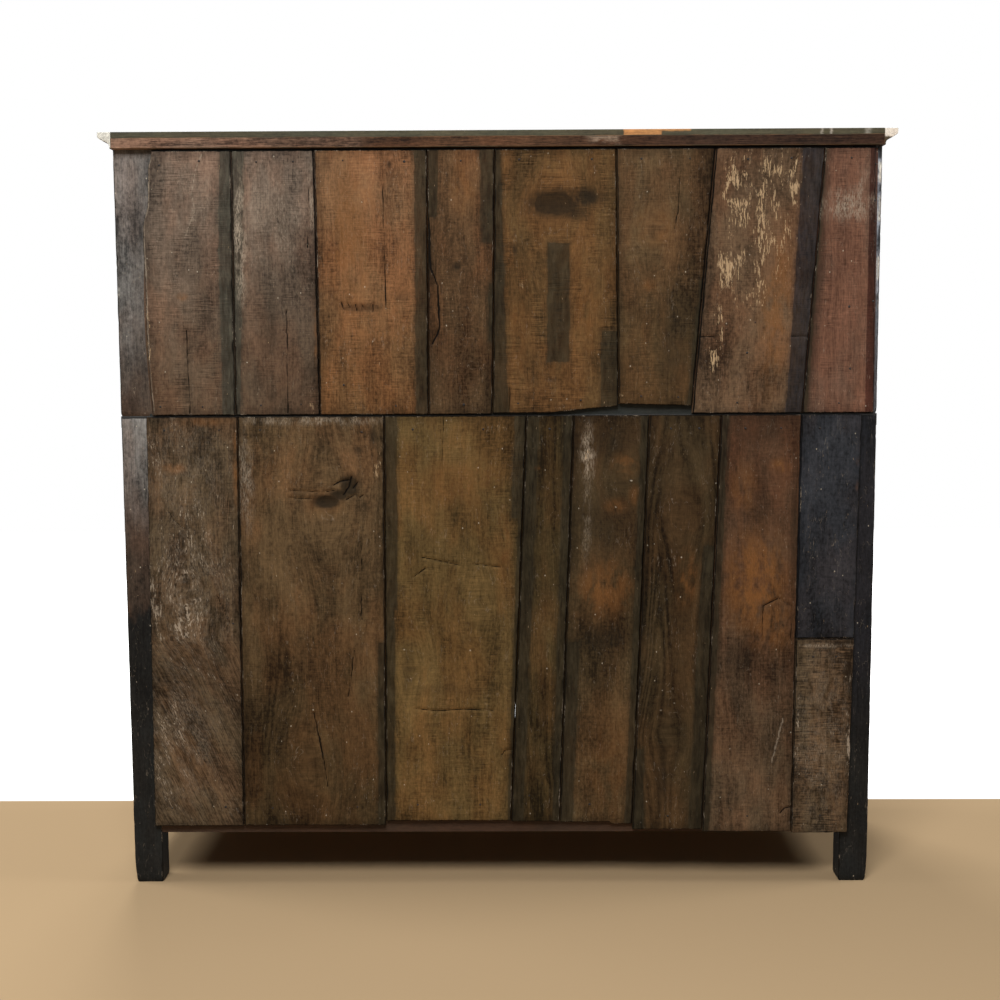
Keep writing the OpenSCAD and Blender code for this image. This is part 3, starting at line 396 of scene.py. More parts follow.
UNDER = {"Position": VECTOR, "Color": COLOUR, "Roughness": 0.7, "Height": 0.0}
GROUPS = {
    "aged oak": (build_oak, {
        "Position": VECTOR, "Tone": COLOUR, "Lift": 1.0, "Grain": 0.5, "Figure": 0.5,
        "Blotch": 0.5, "Saw": 0.0, "Speck": 0.0, "Drift": 0.5, "Dull": 0.7}),
    "board marks": (build_marks, {
        **UNDER, "Band": COLOUR, "Crack": COLOUR, "Flake": COLOUR, "Glow": COLOUR,
        "Scuff": COLOUR, "Soot": 0.0}),
    "rubbed arris": (build_wear, {**UNDER, "Rubbed": COLOUR, "Amount": 0.7})}
GRAIN_TURN = {0: (0, -math.pi / 2, 0), 1: (math.pi / 2, 0, 0)}


def wood_position(n, axis):
    """Where the grain is read: the piece's own attribute, or a CAD node's object coordinates
    turned so that its grain axis becomes Z."""
    if axis is None:
        return n.attribute("wood")["Vector"]
    return n.put("ShaderNodeMapping", {"Vector": n.here(), "Rotation": GRAIN_TURN[axis]}).outputs[0]


def graded(n, at, grade, axis, stray):
    """A tone that changes along an axis: grade lists (place, spread, colour) in rising order, and
    each change strays with slow noise."""
    drift = n.minus(n.noise(at, (40, 40, 14), 3), 0.5)
    along = n.total(n.place()[axis], n.times(drift, stray))
    base = paint(grade[0][2])
    for place, spread, name in grade[1:]:
        base = n.mix(n.ramp(along, place - spread, place + spread), base, paint(name))
    return base


def patched(n, at, base, patches):
    """A tone with ragged patches: each is a colour, a strength, the raggedness of its border and
    its limits, an axis, a low and a high place each."""
    place = n.place()
    rag = n.minus(n.noise(at, (120, 120, 60), 3, 0.65), 0.5)
    for name, strength, border, *limits in patches:
        mask = strength
        for axis, low, high in limits:
            here = n.total(place[axis], n.times(rag, border * 3))
            middle, half = (low + high) / 2, (high - low) / 2
            away = n.maths("ABSOLUTE", n.minus(here, middle))
            mask = n.times(mask, n.ramp(away, half + border, half - border))
        base = n.mix(mask, base, paint(name))
    return base


def shaded(name, surface_of, specular, bump, metallic=0.0):
    """A material: the principled shader over a surface of colour, roughness and height."""
    material = bpy.data.materials.new(name)
    material.use_nodes = True
    material.node_tree.nodes.clear()
    n = Nodes(material.node_tree)
    surface = surface_of(n)
    relief = n.put("ShaderNodeBump", {
        "Height": surface["Height"], "Strength": 1.0, "Distance": bump * MM}).outputs[0]
    shader = n.put("ShaderNodeBsdfPrincipled", {
        "Base Color": surface["Color"], "Roughness": surface["Roughness"],
        "Specular IOR Level": specular, "Metallic": metallic, "Normal": relief}).outputs[0]
    n.put("ShaderNodeOutputMaterial", {"Surface": shader})
    return material


def oak(name, look, axis=None, rubbed=0.0, lift=None, marks=False, specular=0.2, bump=0.35,
        along="Z", stray=0.12, patches=None, soot=0.0, strips="band", flakes="flake",
        **amounts):
    """An oak material. look names a tone or is a grade; amounts are the aged oak group's own;
    lift is (z foot, z head, lift at the foot, lift at the head); grades and patches are told at
    graded and patched."""
    def surface_of(n):
        at = wood_position(n, axis)
        base = paint(look) if isinstance(look, str) else graded(n, at, look, along, stray)
        if patches:
            base = patched(n, at, base, patches)
        wires = {"Position": at, "Tone": base, **amounts}
        if lift:
            wires["Lift"] = n.ramp(n.place()["Z"], *lift)
        surface = n.layer("aged oak", wires)
        if marks:
            surface = n.layer("board marks", {
                "Position": at, **surface, "Band": paint(strips), "Crack": paint("crack"),
                "Flake": paint(flakes), "Glow": paint("glow"), "Scuff": paint("scuff"),
                "Soot": soot})
        if rubbed:
            surface = n.layer("rubbed arris", {
                "Position": at, **surface, "Rubbed": paint("worn"), "Amount": rubbed})
        return surface

    return shaded(name, surface_of, specular, bump)


def iron():
    """Hammered iron with rusty patches, the same for every iron piece."""
    def surface_of(n):
        here = n.here()
        hammer = n.noise(here, (260, 260, 260), 3)
        rust = n.ramp(n.noise(here, (90, 90, 90), 4, 0.65), 0.52, 0.68)
        return {"Color": n.mix(rust, paint("iron"), tone(62, 42, 30)),
                "Roughness": n.ramp(hammer, 0.3, 0.7, 0.45, 0.68), "Height": hammer}

    name = "forged iron"
    return bpy.data.materials.get(name) or shaded(name, surface_of, 0.3, 0.5, metallic=0.3)


# ---------------------------------------------------------------- mesh helpers

# Angles in degrees: where a new piece and a copy have sharp edges, where a copy's edges are
# rounded, and what counts as flat.
SHARP_PIECE, SHARP_COPY, ROUNDED, FLAT = 50, 35, 40, 0.4
# How far from a strip or a crack its distance is still told, in millimetres.
FAR = 9.0


def ripple(x, z, pitch_x, pitch_z, seed):
    """Smooth noise from -1 to 1: seeded heights on a lattice, blended by a smooth step."""
    table = np.random.default_rng(seed).uniform(-1, 1, (64, 64))
    u, v = x / pitch_x, z / pitch_z
    i, j = np.floor(u).astype(int), np.floor(v).astype(int)
    s, t = u - i, v - j
    s, t = s * s * (3 - 2 * s), t * t * (3 - 2 * t)

    def at(a, b):
        return table[a % 64, b % 64]

    low = at(i, j) * (1 - s) + at(i + 1, j) * s
    high = at(i, j + 1) * (1 - s) + at(i + 1, j + 1) * s
    return low * (1 - t) + high * t


def nearest(*gaps):
    """The least of several distances."""
    return np.minimum.reduce(gaps)


def quads(rows, columns, wrap=False):
    """Corner indices of the cells of a grid whose points run row by row."""
    i, j = np.meshgrid(np.arange(rows - 1), np.arange(columns - (0 if wrap else 1)),
                       indexing="ij")
    k = (j + 1) % columns
    return np.stack([i * columns + j, i * columns + k, (i + 1) * columns + k,
                     (i + 1) * columns + j], -1).reshape(-1, 4)


def border(rows, columns):
    """Indices of a grid's border points, once round."""
    return np.concatenate([
        np.arange(columns), np.arange(1, rows) * columns + columns - 1,
        (rows - 1) * columns + np.arange(columns - 2, -1, -1),
        np.arange(rows - 2, 0, -1) * columns])


def tubes(count, rings, around):
    """Faces of like tubes, each of rings of points and closed by a cap at both ends."""
    per, cap = rings * around, np.arange(around)
    parts = quads(rings, around, wrap=True), np.stack([cap, cap + per - around])
    return [face for i in range(count) for part in parts for face in (part + i * per).tolist()]


def heads(places, radius, out, turn, around, axis):
    """Points of low round heads of nails and pegs: rings that lie radius round an axis through
    each place and out along it, turned by an angle each."""
    angle = np.arange(around) * 2 * math.pi / around + turn[:, None, None]
    offset = [radius * np.cos(angle), radius * np.sin(angle)]
    offset.insert(axis, np.broadcast_to(out, offset[0].shape))
    return (np.stack(offset, -1) + places[:, None, None]).reshape(-1, 3)


def read(items, name, size, kind=float):
    """One property of all points or edges of a mesh as an array."""
    values = np.empty(len(items) * size, kind)
    items.foreach_get(name, values)
    return values.reshape(-1, size)


def add(name, data):
    """A new object at the origin."""
    obj = bpy.data.objects.new(name, data)
    bpy.context.scene.collection.objects.link(obj)
    return obj


def piece(name, points, faces, material, slot, body=CASE, smooth=True):
    """A closed mesh object from points in metres and lists of faces, with its normals outwards."""
    mesh = bpy.data.meshes.new(name)
    mesh.from_pydata(np.asarray(points).tolist(), [], faces)
    mesh.validate()
    mesh.update()
    mesh.polygons.foreach_set("use_smooth", np.full(len(mesh.polygons), smooth))
    work = bmesh.new()
    work.from_mesh(mesh)
    bmesh.ops.recalc_face_normals(work, faces=work.faces)
    work.to_mesh(mesh)
    work.free()
    mesh.set_sharp_from_angle(angle=math.radians(SHARP_PIECE))
    mesh.materials.append(material)
    obj = add(name, mesh)
    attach(obj, body)
    return obj


def closed(name, shape, front, behind, *rest):
    """A piece of a grid of points, of a wall from its border to the points behind the border, and
    of the flat back between those."""
    ring, count, k = border(*shape), len(front), np.arange(len(behind))
    wall = np.stack([ring, count + k, count + np.roll(k, -1), np.roll(ring, -1)], -1)
    faces = quads(*shape).tolist() + wall.tolist() + [(count + k).tolist()]
    return piece(name, np.concatenate([front, behind]), faces, *rest)


def store(obj, name, values, kind="FLOAT"):
    """A point attribute of one number or of three numbers a point."""
    layer = obj.data.attributes.new(name, kind, "POINT")
    layer.data.foreach_set("vector" if kind == "FLOAT_VECTOR" else "value",
                           np.asarray(values, np.float32).ravel())


def store_wood(obj, points, seed):
    """Where the piece's grain is read: its points, shifted at random."""
    shift = np.random.default_rng(seed).uniform(-3, 3, 3)
    store(obj, "wood", points + shift, "FLOAT_VECTOR")


# The marks that a piece can have, and the value of each where there is none. A strip, a crack and
# the edge are distances in millimetres, the others are strengths.
EDGE_FAR = 40
MARKS = {"band": -FAR, "crack": -FAR, "edge": EDGE_FAR, "stain": 0, "glow": 0, "flake": 0,
         "scuff": 0, "scratch": 0}


def store_marks(obj, **given):
    """The marks at a piece's points. A mark may be given for the first points alone, which are
    those of the face, or not at all."""
    for name, none in MARKS.items():
        values = np.full(len(obj.data.vertices), float(none))
        face = np.ravel(given.get(name, []))
        values[:face.size] = face
        store(obj, name, values)


# ---------------------------------------------------------------- back boards
# Places on a board are (share, height): the share of its width from its +X edge to its -X edge,
# and the height over the floor in millimetres. The numbers of its marks are
#   band: the heights of its head and foot, the shares of its two sides at the head, then at the
#       foot,
#   crack, scratch: half of its width in millimetres, and the places that it goes through,
#   stain, glow, flake, scuff: its place, half of its width, half of its height, its strength,
#   knots: a place, and how far round it the grain parts,
#   nail: a place; foot: a share, and the rise of the foot there; lean: the height below which the
#       grain leans, and the slope.

# How strong each pattern of the aged oak is on a board that doesn't say so.
AMOUNTS = {"Grain": 0.5, "Blotch": 0.9, "Figure": 0.4, "Saw": 0.3, "Speck": 0.6}


def board(head, low, foot_lift, head_lift, **own):
    """A board's tones at its head and foot, how far each is lifted, and what it has of its own:
    marks, knots that part its grain, a lean of the grain below a height, the line of its +X edge
    (rim), the rise of its foot over its width, how far it goes above its solid and how far the
    head of its -X edge is trimmed, in millimetres."""
    plain = {**dict.fromkeys(MARKS, []), **AMOUNTS, "nail": [], "knots": [], "lean": (0, 0),
             "foot": [(0, 0), (1, 0)], "above": 0, "trim": 0, "patches": None, "strips": "band",
             "flakes": "flake"}
    return {**plain, "tone": (head, low), "lift": (foot_lift, head_lift), **own}


BOARDS = {
    "upper_back_board_1": board(
        "ash", "ash_low", 0.88, 0.92, Saw=1.5, Grain=0.4, strips="grey_band",
        band=[(1569, 1022, 0.85, 1.02, 0.85, 1.02)],
        crack=[(1.0, (0.46, 1200), (0.45, 1026))],
        scratch=[(0.4, (0.64, 1561), (0.58, 1531), (0.53, 1483), (0.57, 1439), (0.48, 1396)),
                 # The line along the whole waney +X edge is a painted highlight of its lit bevel.
                 (0.1, (0.012, 1566), (0.012, 1030))],
        glow=[(0.42, 1270, 12, 8, 0.6)],
        flake=[(0.02, 1190, 7, 100, 0.75), (0.12, 1060, 20, 14, 0.5), (0.7, 1080, 30, 12, 0.3)],
        scuff=[(0.5, 1480, 60, 80, 0.25)],
        nail=[(0.1, 1540), (0.6, 1548), (0.12, 1040), (0.62, 1040)],
        rim=[(-0.022, 1569), (-0.065, 1532), (-0.068, 1459), (-0.122, 1416), (-0.119, 1373),
             (-0.087, 1307), (-0.07, 1220), (-0.043, 1132), (-0.004, 1065), (0.017, 1026)]),
    "upper_back_board_2": board(
        "ash", "ash_low", 0.78, 1.03, Saw=1.0, Grain=0.45, strips="grey_band",
        band=[(1569, 1022, -0.02, 0.15, -0.02, 0.05)],
        crack=[(1.0, (0.63, 1239), (0.62, 1026)), (0.6, (0.93, 1490), (0.9, 1370)),
               (1.6, (1.0, 1569), (1.0, 1022))],
        stain=[(0.42, 1217, 24, 90, 0.5), (0.43, 1065, 14, 14, 0.3)],
        scuff=[(0.08, 1383, 14, 130, 1.3), (0.97, 1500, 8, 100, 1.1), (0.5, 1420, 80, 120, 0.3)],
        flake=[(0.93, 1041, 14, 14, 0.7), (0.5, 1548, 20, 6, 0.5)],
        glow=[(0.98, 1186, 5, 80, 0.5)],
        nail=[(0.3, 1546), (0.75, 1546), (0.3, 1042), (0.78, 1044)]),
    "upper_back_board_3": board(
        "orange", "orange_low", 0.95, 0.82, Saw=1.1,
        band=[(1569, 1022, 0.885, 1.02, 0.885, 1.02)],
        crack=[(0.8, (0.60, 1566), (0.61, 1405), (0.62, 1243)), (0.9, (0.21, 1256), (0.23, 1243)),
               (0.7, (0.27, 1254), (0.29, 1246)), (0.9, (0.34, 1252), (0.35, 1240)),
               (0.8, (0.4, 1250), (0.43, 1241)), (0.8, (0.5, 1252), (0.5, 1238))],
        glow=[(0.3, 1400, 50, 150, 0.45)],
        stain=[(0.1, 1541, 9, 16, 0.6), (0.667, 1540, 6, 6, 0.8), (0.78, 1268, 20, 12, 0.5),
               (0.4, 1245, 44, 9, 0.7), (0.92, 1047, 6, 10, 0.7)],
        nail=[(0.25, 1548), (0.8, 1545), (0.22, 1084), (0.7, 1040)],
        knots=[(0.667, 1540, 16), (0.78, 1268, 20)]),
    "upper_back_board_4": board(
        "chestnut", "chestnut_low", 1.1, 1.0, Saw=0.7,
        band=[(1569, 1430, -0.02, 0.16, -0.02, 0.14), (1569, 1378, 0.78, 1.02, 0.8, 1.02),
              (1296, 1174, 0.93, 1.02, 0.93, 1.02)],
        crack=[(1.6, (0.01, 1430), (0.03, 1326), (0.14, 1291), (0.17, 1200), (0.05, 1170))],
        stain=[(0.44, 1330, 10, 10, 0.8)],
        glow=[(0.54, 1500, 30, 70, 0.3)],
        flake=[(0.33, 1266, 20, 12, 0.5)],
        nail=[(0.5, 1546), (0.55, 1042)],
        knots=[(0.44, 1330, 26), (0.7, 1106, 20)]),
    "upper_back_board_5": board(
        "golden", "golden", 0.84, 0.72, foot=[(0.0, 2), (0.45, 2), (1.0, 16)], Saw=1.7, Speck=0.4,
        band=[(1569, 1022, -0.02, 0.045, -0.02, 0.13), (1195, 1038, 0.87, 1.02, 0.86, 1.02),
              (1378, 1130, 0.43, 0.617, 0.43, 0.617)],
        crack=[(0.8, (0.13, 1078), (0.13, 1030)), (0.8, (0.96, 1445), (1.0, 1445))],
        stain=[(0.5, 1458, 58, 30, 1.6), (0.72, 1470, 50, 22, 1.1), (0.62, 1440, 44, 18, 0.9),
               (0.17, 1363, 6, 12, 0.7), (0.05, 1290, 10, 90, 0.5)],
        flake=[(0.23, 1289, 12, 16, 0.5), (0.92, 1120, 8, 60, 0.4)],
        glow=[(0.75, 1240, 30, 110, 0.35), (0.2, 1180, 24, 130, 0.3)],
        nail=[(0.2, 1548), (0.8, 1548), (0.2, 1044), (0.7, 1050)],
        knots=[(0.5, 1455, 60)]),
    "upper_back_board_6": board(
        "umber", "umber_low", 1.00, 0.71, foot=[(0.0, 4), (1.0, 0)], Saw=0.9,
        band=[(1300, 1040, 0.96, 1.02, 0.93, 1.02)],
        crack=[(0.9, (0.66, 1509), (0.66, 1440), (0.63, 1405)), (2.0, (1.0, 1569), (1.0, 1040))],
        glow=[(0.4, 1409, 40, 40, 0.4), (0.36, 1290, 12, 14, 0.4)],
        stain=[(0.72, 1160, 40, 90, 0.45)],
        flake=[(0.75, 1306, 6, 40, 0.6), (0.05, 1060, 12, 8, 0.7)],
        nail=[(0.25, 1548), (0.75, 1548), (0.3, 1058), (0.8, 1056)],
        knots=[(0.4, 1409, 40)]),
    "upper_back_board_7": board(
        "flaky", "flaky", 1.02, 0.82, Saw=0.8, strips="cold_band",
        band=[(1563, 1022, 0.8, 1.02, 0.85, 1.02)],
        crack=[(0.7, (0.0, 1182), (0.13, 1182)), (2.0, (0.0, 1569), (0.0, 1022)),
               (0.6, (0.85, 1182), (1.0, 1182))],
        flake=[(0.2, 1483, 30, 100, 0.86), (0.18, 1322, 22, 90, 0.84), (0.16, 1178, 18, 90, 0.84),
               (0.74, 1465, 18, 110, 0.8), (0.55, 1515, 26, 34, 0.74),
               (0.45, 1400, 90, 230, 0.66)],
        glow=[(0.68, 1230, 36, 170, 0.55)],
        nail=[(0.45, 1148), (0.5, 1211), (0.3, 1546), (0.7, 1548), (0.4, 1044)]),
    "upper_back_board_8": board(
        "reddish", "reddish", 1.06, 1.16, trim=6, Saw=0.9, Blotch=0.5,
        band=[(1569, 1022, -0.02, 0.04, -0.02, 0.06)],
        stain=[(0.07, 1280, 16, 260, 0.6)],
        scuff=[(0.55, 1452, 62, 34, 0.9), (0.8, 1470, 20, 50, 0.7)],
        nail=[(0.58, 1243), (0.636, 1114), (0.95, 1535), (0.95, 1461), (0.95, 1418), (0.95, 1254),
              (0.5, 1548), (0.5, 1042)],
        patches=[("wine", 0.85, 0.001, ("X", -0.82, -0.772))]),
    "lower_back_board_1": board(
        "rough", "rough", 0.99, 0.93, Saw=0.8, Grain=1.0, Blotch=1.25, lean=(540, 0.45),
        flakes="scuff",
        crack=[(0.8, (0.15, 843), (0.27, 800), (0.38, 782)), (1.0, (0.75, 635), (0.88, 577))],
        glow=[(0.3, 910, 24, 12, 0.7), (0.65, 1008, 60, 10, 0.4), (0.98, 907, 6, 80, 0.6)],
        flake=[(0.1, 640, 26, 150, 0.7), (0.34, 582, 60, 52, 0.62), (0.5, 700, 110, 300, 0.5),
               (0.2, 300, 60, 200, 0.55), (0.1, 930, 30, 90, 0.5), (0.6, 450, 60, 60, 0.5)],
        stain=[(0.5, 430, 80, 110, 0.25)],
        scuff=[(0.45, 640, 90, 160, 0.4), (0.3, 330, 90, 170, 0.4), (0.4, 900, 90, 120, 0.3)],
        nail=[(0.92, 576), (0.2, 990), (0.8, 990), (0.2, 170), (0.8, 172)],
        knots=[(0.4, 640, 50)]),
    "lower_back_board_2": board(
        "umber", "umber_low", 1.03, 1.08, Saw=0.6, Figure=0.8,
        band=[(535, 131, 0.95, 1.02, 0.95, 1.02)],
        crack=[(1.5, (0.72, 852), (0.76, 868), (0.775, 890)), (1.2, (0.79, 866), (0.82, 878)),
               (1.3, (0.65, 872), (0.7, 881), (0.76, 884)), (1.0, (0.74, 842), (0.8, 852)),
               (0.9, (0.83, 846), (0.86, 852)), (0.8, (0.6, 858), (0.66, 862)),
               (0.4, (0.35, 862), (0.55, 858)), (0.4, (0.34, 846), (0.5, 844)),
               (0.7, (0.84, 753), (0.84, 584)), (0.9, (0.787, 517), (0.744, 416)),
               (1.2, (0.5, 380), (0.53, 333), (0.557, 290), (0.592, 217))],
        stain=[(0.604, 838, 28, 15, 1.8), (0.77, 872, 24, 24, 1.3), (0.69, 852, 26, 14, 1.1),
               (0.83, 948, 12, 10, 0.6), (0.876, 829, 10, 10, 0.5), (0.93, 977, 8, 22, 0.9)],
        flake=[(0.6, 850, 17, 14, 0.45), (0.97, 935, 7, 90, 0.6), (0.95, 901, 12, 24, 0.8)],
        scuff=[(0.05, 880, 16, 100, 0.7), (0.5, 1010, 160, 10, 0.8)],
        glow=[(0.604, 838, 40, 26, 0.3)],
        nail=[(0.15, 990), (0.85, 985), (0.2, 170), (0.8, 172)],
        knots=[(0.604, 838, 70), (0.45, 250, 60)]),
    "lower_back_board_3": board(
        "honey", "honey", 1.08, 0.8, Saw=0.9, Figure=0.8,
        band=[(1018, 662, -0.02, 0.09, -0.02, 0.09), (662, 140, -0.02, 0.07, -0.02, 0.07),
              (1018, 860, 0.92, 1.02, 0.92, 1.02), (860, 140, 0.97, 1.02, 0.97, 1.02)],
        crack=[(0.8, (0.205, 674), (0.295, 694)), (0.8, (0.27, 717), (0.397, 710), (0.54, 701)),
               (0.8, (0.654, 703), (0.85, 696)), (0.6, (0.42, 1016), (0.405, 880)),
               (0.8, (0.23, 388), (0.4, 383), (0.6, 387), (0.83, 384)),
               (0.8, (0.91, 285), (0.93, 295), (0.99, 297))],
        glow=[(0.55, 879, 80, 50, 0.3), (0.88, 756, 18, 80, 0.35)],
        stain=[(0.165, 478, 14, 62, 0.4), (0.5, 430, 90, 14, 0.3)],
        nail=[(0.2, 990), (0.7, 990), (0.25, 176), (0.75, 176)],
        knots=[(0.2, 478, 40), (0.7, 600, 50)]),
    "lower_back_board_4": board(
        "olive", "olive", 1.42, 1.1, Figure=1.8, Grain=0.75,
        band=[(1018, 138, -0.02, 0.28, -0.02, 0.24), (1018, 138, 0.8, 1.02, 0.84, 1.02)],
        glow=[(0.52, 620, 12, 240, 0.1), (0.25, 907, 6, 5, 0.8)],
        nail=[(0.35, 196), (0.5, 990)]),
    "lower_back_board_5": board(
        "smoky", "smoky", 2.05, 0.82, Saw=0.5,
        band=[(535, 132, -0.02, 0.18, -0.02, 0.18), (1018, 132, 0.9, 1.02, 0.9, 1.02)],
        flake=[(0.2, 930, 9, 50, 0.6), (0.2, 800, 5, 66, 0.5)],
        scuff=[(0.2, 936, 15, 56, 1.4), (0.22, 800, 10, 100, 0.4)],
        glow=[(0.72, 915, 30, 26, 0.5), (0.6, 826, 26, 18, 0.45), (0.86, 848, 14, 22, 0.35),
              (0.5, 650, 60, 60, 0.6), (0.65, 260, 44, 130, 0.25)],
        stain=[(0.5, 960, 60, 40, 0.4), (0.45, 790, 60, 60, 0.35), (0.5, 540, 70, 30, 0.6)],
        nail=[(0.5, 990), (0.4, 176)],
        foot=[(0.0, 4), (0.68, 4), (0.72, 0), (1.0, 0)],
        knots=[(0.7, 880, 40)]),
    "lower_back_board_6": board(
        "smoky", "smoky", 1.02, 0.85, Figure=2.6, Saw=0.4,
        band=[(742, 120, 0.82, 1.02, 0.8, 1.02), (300, 120, -0.02, 0.12, -0.02, 0.16)],
        glow=[(0.62, 672, 22, 60, 0.6)],
        stain=[(0.4, 235, 14, 90, 0.5)],
        nail=[(0.3, 990), (0.7, 990), (0.5, 150)],
        knots=[(0.5, 820, 50), (0.45, 330, 60)]),
    "lower_back_board_7": board(
        "rust", "rust_low", 1.55, 0.82, Figure=1.0, Saw=0.7,
        band=[(1018, 115, -0.02, 0.09, -0.02, 0.07)],
        crack=[(0.7, (0.6, 534), (0.6, 610), (0.78, 627), (0.95, 610), (0.95, 534)),
               (0.7, (1.0, 170), (0.93, 167), (0.87, 155))],
        glow=[(0.5, 660, 66, 110, 0.85), (0.75, 908, 20, 18, 0.6), (0.7, 570, 50, 60, 0.6),
              (0.3, 860, 30, 60, 0.35)],
        stain=[(0.5, 1000, 90, 50, 0.4), (0.35, 500, 60, 26, 0.3), (0.95, 760, 12, 120, 0.5)],
        scratch=[(0.7, (0.88, 365), (0.76, 268))],
        flake=[(0.93, 150, 8, 8, 0.8), (0.75, 905, 16, 20, 0.5)],
        nail=[(0.3, 990), (0.75, 990), (0.5, 150)],
        knots=[(0.72, 906, 30)]),
    "lower_back_board_8": board(
        # Dark paint with a painted bluish sheen.
        "slate", "slate", 1.12, 1.18, foot=[(0, 9), (1, 9)], Grain=0.4,
        crack=[(0.8, (0.3, 590), (0.3, 561))],
        glow=[(0.97, 918, 5, 10, 0.4), (0.97, 868, 5, 10, 0.4)],
        nail=[(0.04, 562), (0.2, 562), (0.62, 562), (0.84, 562), (0.25, 572), (0.3, 990),
              (0.7, 990)]),
    "lower_back_patch": board(
        "rough", "rough", 1.20, 1.25, above=9, Saw=2.4, Blotch=1.3, flakes="scuff",
        scuff=[(0.5, 524, 70, 5, 1.0), (0.5, 330, 70, 200, 0.35)],
        flake=[(0.05, 330, 7, 190, 0.6), (0.1, 130, 18, 14, 0.8), (0.97, 330, 8, 170, 0.8),
               (0.5, 300, 60, 150, 0.35)],
        nail=[(0.3, 500), (0.7, 500), (0.5, 150)]),
}


def outline_of(node):
    """The corners of a board's CAD solid: heights and X of its -X edge and of its +X edge, and
    its foot, head, back and face, in metres."""
    co = np.round(read(frame["nodes"][node].data.vertices, "co", 3), 6)
    middle = (co[:, 0].min() + co[:, 0].max()) / 2
    edges = []
    for side in (co[co[:, 0] < middle], co[co[:, 0] >= middle]):
        z = np.unique(side[:, 2])
        x = np.array([side[side[:, 2] == h, 0].mean() for h in z])
        edges.append((z, x))
    return edges, co[:, 2].min(), co[:, 2].max(), co[:, 1].min(), co[:, 1].max()


def steps(count, arris):
    """Shares and offsets of grid lines: three close lines at each end, even cells between."""
    inner = np.linspace(0, 1, count)[1:-1]
    share = np.concatenate([[0, 0, 0], inner, [1, 1, 1]])
    offset = np.concatenate([[0, 0.3, 1.0], 0 * inner, [-1.0, -0.3, 0]]) * arris
    return share, offset


def reach(marks, u, z, w, seed):
    """How far a point lies inside the nearest strip, in millimetres, and negative outside. The
    sides of a strip stray with slow noise, and one that starts or stops at an end of its board
    goes on past it."""
    upper_head, upper_foot, lower_head, past = 1560, 1040, (1000, 1020), 60
    best = np.full(u.shape, -FAR)
    for number, (high, low, a1, b1, a0, b0) in enumerate(marks):
        t = np.clip((z - low) / (high - low), 0, 1)
        stray = 1.6 * ripple(z, z, 55, 21, seed + number)
        a, b = (a0 + (a1 - a0) * t) * w + stray, (b0 + (b1 - b0) * t) * w + stray
        at_head = high > upper_head or lower_head[0] < high < lower_head[1]
        high, low = high + past * at_head, low - past * (low < upper_foot)
        best = np.maximum(best, nearest(u * w - a, b - u * w, z - low, high - z))
    return np.clip(best, -FAR, FAR)


def line_depth(lines, u, z, w):
    """Half the width of the nearest line less the distance to it, in millimetres."""
    best = np.full(u.shape, -FAR)
    for half, *points in lines:
        for (ua, za), (ub, zb) in zip(points, points[1:]):
            px, pz = (u - ua) * w + 0.8 * ripple(z, z, 23, 9, 77), z - za
            dx, dz = (ub - ua) * w, np.full(u.shape, float(zb - za))
            t = np.clip((px * dx + pz * dz) / (dx * dx + dz * dz), 0, 1)
            vary = half + 0.4 + 0.5 * ripple(z, u * w, 23, 31, 55)
            best = np.maximum(best, vary - np.hypot(px - t * dx, pz - t * dz))
    return np.clip(best, -FAR, FAR)


def spots(marks, u, z, w):
    """Soft ellipses: each fades from its middle to its rim by a bell curve."""
    best = np.zeros(u.shape)
    for centre, height, half_w, half_h, strength in marks:
        r2 = ((u - centre) * w / half_w) ** 2 + ((z - height) / half_h) ** 2
        best = np.maximum(best, strength * np.exp(-1.2 * r2 ** 1.5))
    return best


